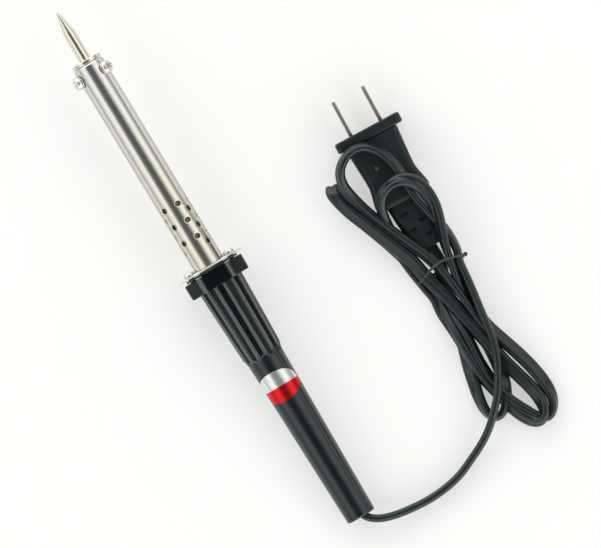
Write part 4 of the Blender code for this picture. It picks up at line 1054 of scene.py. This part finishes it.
def make_plate(metal, board, screw_metal):
    """Guard plate with a rolled-over rim, gasket below it and two screws."""
    outline = [(5.9, 110.6), (PLATE_RADIUS, 110.6), (PLATE_RADIUS, 110.05), (5.9, 110.05)]
    turned("guard_plate", rounded(outline, [0.05, 0.22, 0.22, 0.05]), metal, 160,
           closed=True, stands_for=("flange_plate",), slot="nickel")
    outline = [(5.6, 109.7), (11.0, 109.7), (11.0, 108.9), (5.6, 108.9)]
    turned("gasket_disc", rounded(outline, 0.15, 3), board, closed=True,
           stands_for=("flange_gasket",), slot="gasket_board")
    for number, side in ((1, -1.0), (2, 1.0)):
        seat = AXIS @ Matrix.Translation(Vector((0.0, side * 8.6, 110.9)) * MM) @ Matrix.Rotation(
            math.radians(25.0 * side), 4, "Z")
        pan_head(f"plate_pan_{number}", 2.3, 1.7, 1.2, 8.0, screw_metal, seat,
                 stands_for=(f"flange_screw_{number}",))


# Handle

COLLAR_TOP = 108.6
COLLAR_APOTHEM = 11.15
COLLAR_CORNER = 2.6
CORNER_STEPS = 10
GRIP_TOP = 102.4
GRIP_LOW = 73.9
NECK = 70.7
NECK_RADIUS = 7.25
FLUTES = 14
FLUTE_PHASE = math.radians(-4.6)
RIDGE_SHARE = 0.48                   # of half a flute's pitch
CREST_TOP = 9.05
CREST_LOW = 8.05
FACETS = 8
GRIP_SIDES = 392
LABEL_HEIGHT = 58.2
LABEL_HALF_HEIGHT = 6.0
LABEL_HALF_WIDTH = 10.2
LABEL_MIDDLE = math.radians(-15.0)
LABEL_RINGS = 10
PARTING = math.radians(40.0)


def shaft_radius(height):
    """Radius of the plain part of the handle."""
    return HANDLE_END_RADIUS + (NECK_RADIUS - HANDLE_END_RADIUS) * height / NECK


def hexagon(inset, height, shrink=1.0):
    """Ring of the collar's rounded hexagon, with a flat side facing +X."""
    ring = []
    radius = COLLAR_CORNER - inset
    reach = (COLLAR_APOTHEM - COLLAR_CORNER) / math.cos(math.pi / 6.0)
    for side in range(6):
        middle = math.radians(30.0 + side * 60.0)
        centre = Vector((math.cos(middle), math.sin(middle))) * reach
        for part in range(CORNER_STEPS + 1):
            angle = middle - math.pi / 6.0 + part / CORNER_STEPS * math.pi / 3.0
            point = centre + Vector((math.cos(angle), math.sin(angle))) * radius
            ring.append(Vector((point.x * shrink, point.y * shrink, height)))
    return ring


def make_collar(look, corner_look):
    """Six-sided collar with a soft rim, slightly smaller towards the grip, its corners polished."""
    top, low = COLLAR_TOP, GRIP_TOP
    stops = [(0.9, top - 0.5, 0.5), (0.9, top - 0.5, 0.8), (0.9, top, 0.82)]
    stops += [(inset, top - drop) for inset, drop in ((0.55, 0.0), (0.25, 0.07), (0.07, 0.22), (0.0, 0.5))]
    stops += [(0.06 * share, top - 0.5 - (top - low - 1.0) * share) for share in (0.25, 0.5, 0.75)]
    stops += [(inset, low + drop) for inset, drop in ((0.1, 0.5), (0.17, 0.22), (0.34, 0.07), (0.6, 0.0))]
    stops += [(0.6, low, 0.6), (0.6, low - 0.8, 0.6)]
    rings = [hexagon(*stop) for stop in stops]
    verts, faces = loft(rings)
    collar = piece("handle_collar", verts, faces, look, slot="black_plastic", sharp=28.0)
    collar.data.materials.append(corner_look)
    around = len(rings[0])
    for face in collar.data.polygons[:around * (len(rings) - 1)]:
        on_flat = face.index % around % (CORNER_STEPS + 1) == CORNER_STEPS
        face.material_index = 0 if on_flat else 1


def flute_place(turn):
    """0 in the middle of a groove, 1 on the middle of a ridge."""
    pitch = 2.0 * math.pi / FLUTES
    return abs(((turn - FLUTE_PHASE + pitch / 2.0) % pitch) - pitch / 2.0) / (pitch / 2.0)


def fluted_radius(height, turn):
    """Radius of the grip's flutes and ridges."""
    share = (height - GRIP_LOW) / (GRIP_TOP - GRIP_LOW)
    crest = CREST_LOW + (CREST_TOP - CREST_LOW) * share
    off = min(1.0, (1.0 - flute_place(turn)) / RIDGE_SHARE)
    bead = (1.0 - off * off) ** 0.65
    return crest - (0.5 + 0.45 * share) * (1.0 - bead)


def facet_radius(height, turn):
    """Radius of the flat facets that cut the grip's lower end."""
    sector = 2.0 * math.pi / FACETS
    lean = ((turn + sector / 2.0) % sector) - sector / 2.0
    return (NECK_RADIUS - 0.03 + (height - NECK) * 0.30) / math.cos(lean)


def grip_point(height, turn):
    """Point on the grip's skin."""
    radius = min(fluted_radius(height, turn), facet_radius(height, turn))
    radius = max(shaft_radius(height) * 0.995, radius)
    return Vector((radius * math.cos(turn), radius * math.sin(turn), height))


def make_grip(look, groove_look):
    """Fluted grip: one dense skin whose radius follows the flutes and the facets."""
    heights = [GRIP_TOP + 0.6, GRIP_TOP]
    heights += [GRIP_TOP - (GRIP_TOP - 77.0) * step / 11.0 for step in range(1, 12)]
    level = 76.7
    while level > NECK - 1.0:
        heights.append(level)
        level -= 0.22
    full_turn = 2.0 * math.pi
    verts, faces = loft([
        [grip_point(height, full_turn * side / GRIP_SIDES) for side in range(GRIP_SIDES)]
        for height in heights
    ])
    grip = piece("handle_grip", verts, faces, look, stands_for=("handle",), slot="black_plastic",
                 sharp=38.0)
    grip.data.materials.append(groove_look)
    for face in grip.data.polygons[:GRIP_SIDES * (len(heights) - 1)]:
        turn = full_turn * (face.index % GRIP_SIDES + 0.5) / GRIP_SIDES
        height = heights[face.index // GRIP_SIDES + 1]
        fluted = fluted_radius(height, turn) < facet_radius(height, turn)
        face.material_index = 1 if fluted and flute_place(turn) < 1.0 - RIDGE_SHARE else 0


def make_shaft(look):
    """Tapered plain part with a parting line on each side and a mouth for the cord."""
    profile = [(0.0, 71.5), (shaft_radius(71.5) - 0.3, 71.5)]
    profile += [(shaft_radius(71.2 - step * 2.0), 71.2 - step * 2.0) for step in range(36)]
    profile += [(5.79, 0.75), (5.74, 0.45), (5.6, 0.2), (5.35, 0.05), (5.05, 0.0), (3.6, 0.0), (3.35, 0.0),
                (3.3, 0.25), (3.3, 7.0), (0.0, 7.0)]

    def with_seam(radius, height, turn):
        if radius < 5.2 or height > 71.3:
            return radius
        relief = 0.0
        for seam in (PARTING, PARTING + math.pi):
            off = ((turn - seam + math.pi) % (2.0 * math.pi) - math.pi) * radius
            ditches = math.exp(-((off - 0.42) / 0.14) ** 2) + math.exp(-((off + 0.42) / 0.14) ** 2)
            relief += 0.05 * math.exp(-(off / 0.16) ** 2) - 0.09 * ditches
        return radius + relief

    verts, faces = lathe(profile, 400, radius_at=with_seam)
    piece("handle_shaft", verts, faces, look, slot="black_plastic", sharp=35.0)


def make_label(look):
    """Oval foil wrapped on the handle: a flat disc with an upper and a lower side, bent round it."""
    steps = [ring / LABEL_RINGS for ring in range(LABEL_RINGS)]
    upper = [(share, 0.10) for share in steps] + [(1.0, 0.10 * 0.6)]
    lower = [(1.0, 0.01 * 0.6)] + [(share, 0.01) for share in reversed(steps)]
    disc, faces = lathe(upper + lower, 72)
    verts = []
    for x, y, lift in disc:
        height = LABEL_HEIGHT + LABEL_HALF_HEIGHT * y
        turn = LABEL_MIDDLE + LABEL_HALF_WIDTH * x / shaft_radius(LABEL_HEIGHT)
        radius = shaft_radius(height) + lift
        verts.append((radius * math.cos(turn), radius * math.sin(turn), height))
    piece("foil_label", verts, faces, look, stands_for=("handle_label",), slot="foil", sharp=60.0)


# Putting it together

make_camera()
make_stage()

VINYL = vinyl_look()
PLUG_VINYL = vinyl_look("look_plug_vinyl", 0.36, 1500.0, 0.4)
GLOSS = handle_look("look_gate_mark", 0.03, 1.0, 1.0)
METAL = plated_look("look_screw", (0.78, 0.77, 0.69), 0.16)
BOARD = board_look()
STEEL = bare_steel_look()
CERAMIC = ceramic_look()
BRAID = braid_look()

cord, cord_line, cord_length = make_cord(VINYL)
plug = make_plug(PLUG_VINYL, blade_look(), GLOSS)
tie = make_tie(tie_look())

make_tip(tip_look())
make_cap(plated_look("look_cap", (0.74, 0.72, 0.61), 0.12))
make_barrel(barrel_look())
make_clamps(METAL)
make_plate(plated_look("look_plated", (0.80, 0.79, 0.73), 0.3), BOARD, METAL)
make_collar(handle_look("look_collar", 0.2, 0.07), handle_look("look_corner", 0.08, 1.0, 1.0))
# The grip's ridge tops carry a painted highlight of lighter grey.
make_grip(
    handle_look("look_grip", shine=1.0, coat=0.5, ridge_highlight=ridge_share),
    handle_look("look_groove", 0.2, 0.2),
)
make_shaft(handle_look())
make_label(foil_look(58.1))

CARRIED = {
    "heater_core": STEEL, "heater_winding": CERAMIC, "heater_wrap": mica_look(), "rear_bushing": CERAMIC,
    "heater_lead_1": STEEL, "heater_lead_2": STEEL, "lead_sleeve_1": BRAID, "lead_sleeve_2": BRAID,
    "splice_1": STEEL, "splice_2": STEEL, "cord_conductor_1": VINYL, "cord_conductor_2": VINYL,
    "cord_tail": VINYL, "cord_clip": BOARD,
}
for name, look in CARRIED.items():
    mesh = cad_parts[name].data
    mesh.materials.clear()
    mesh.materials.append(look)
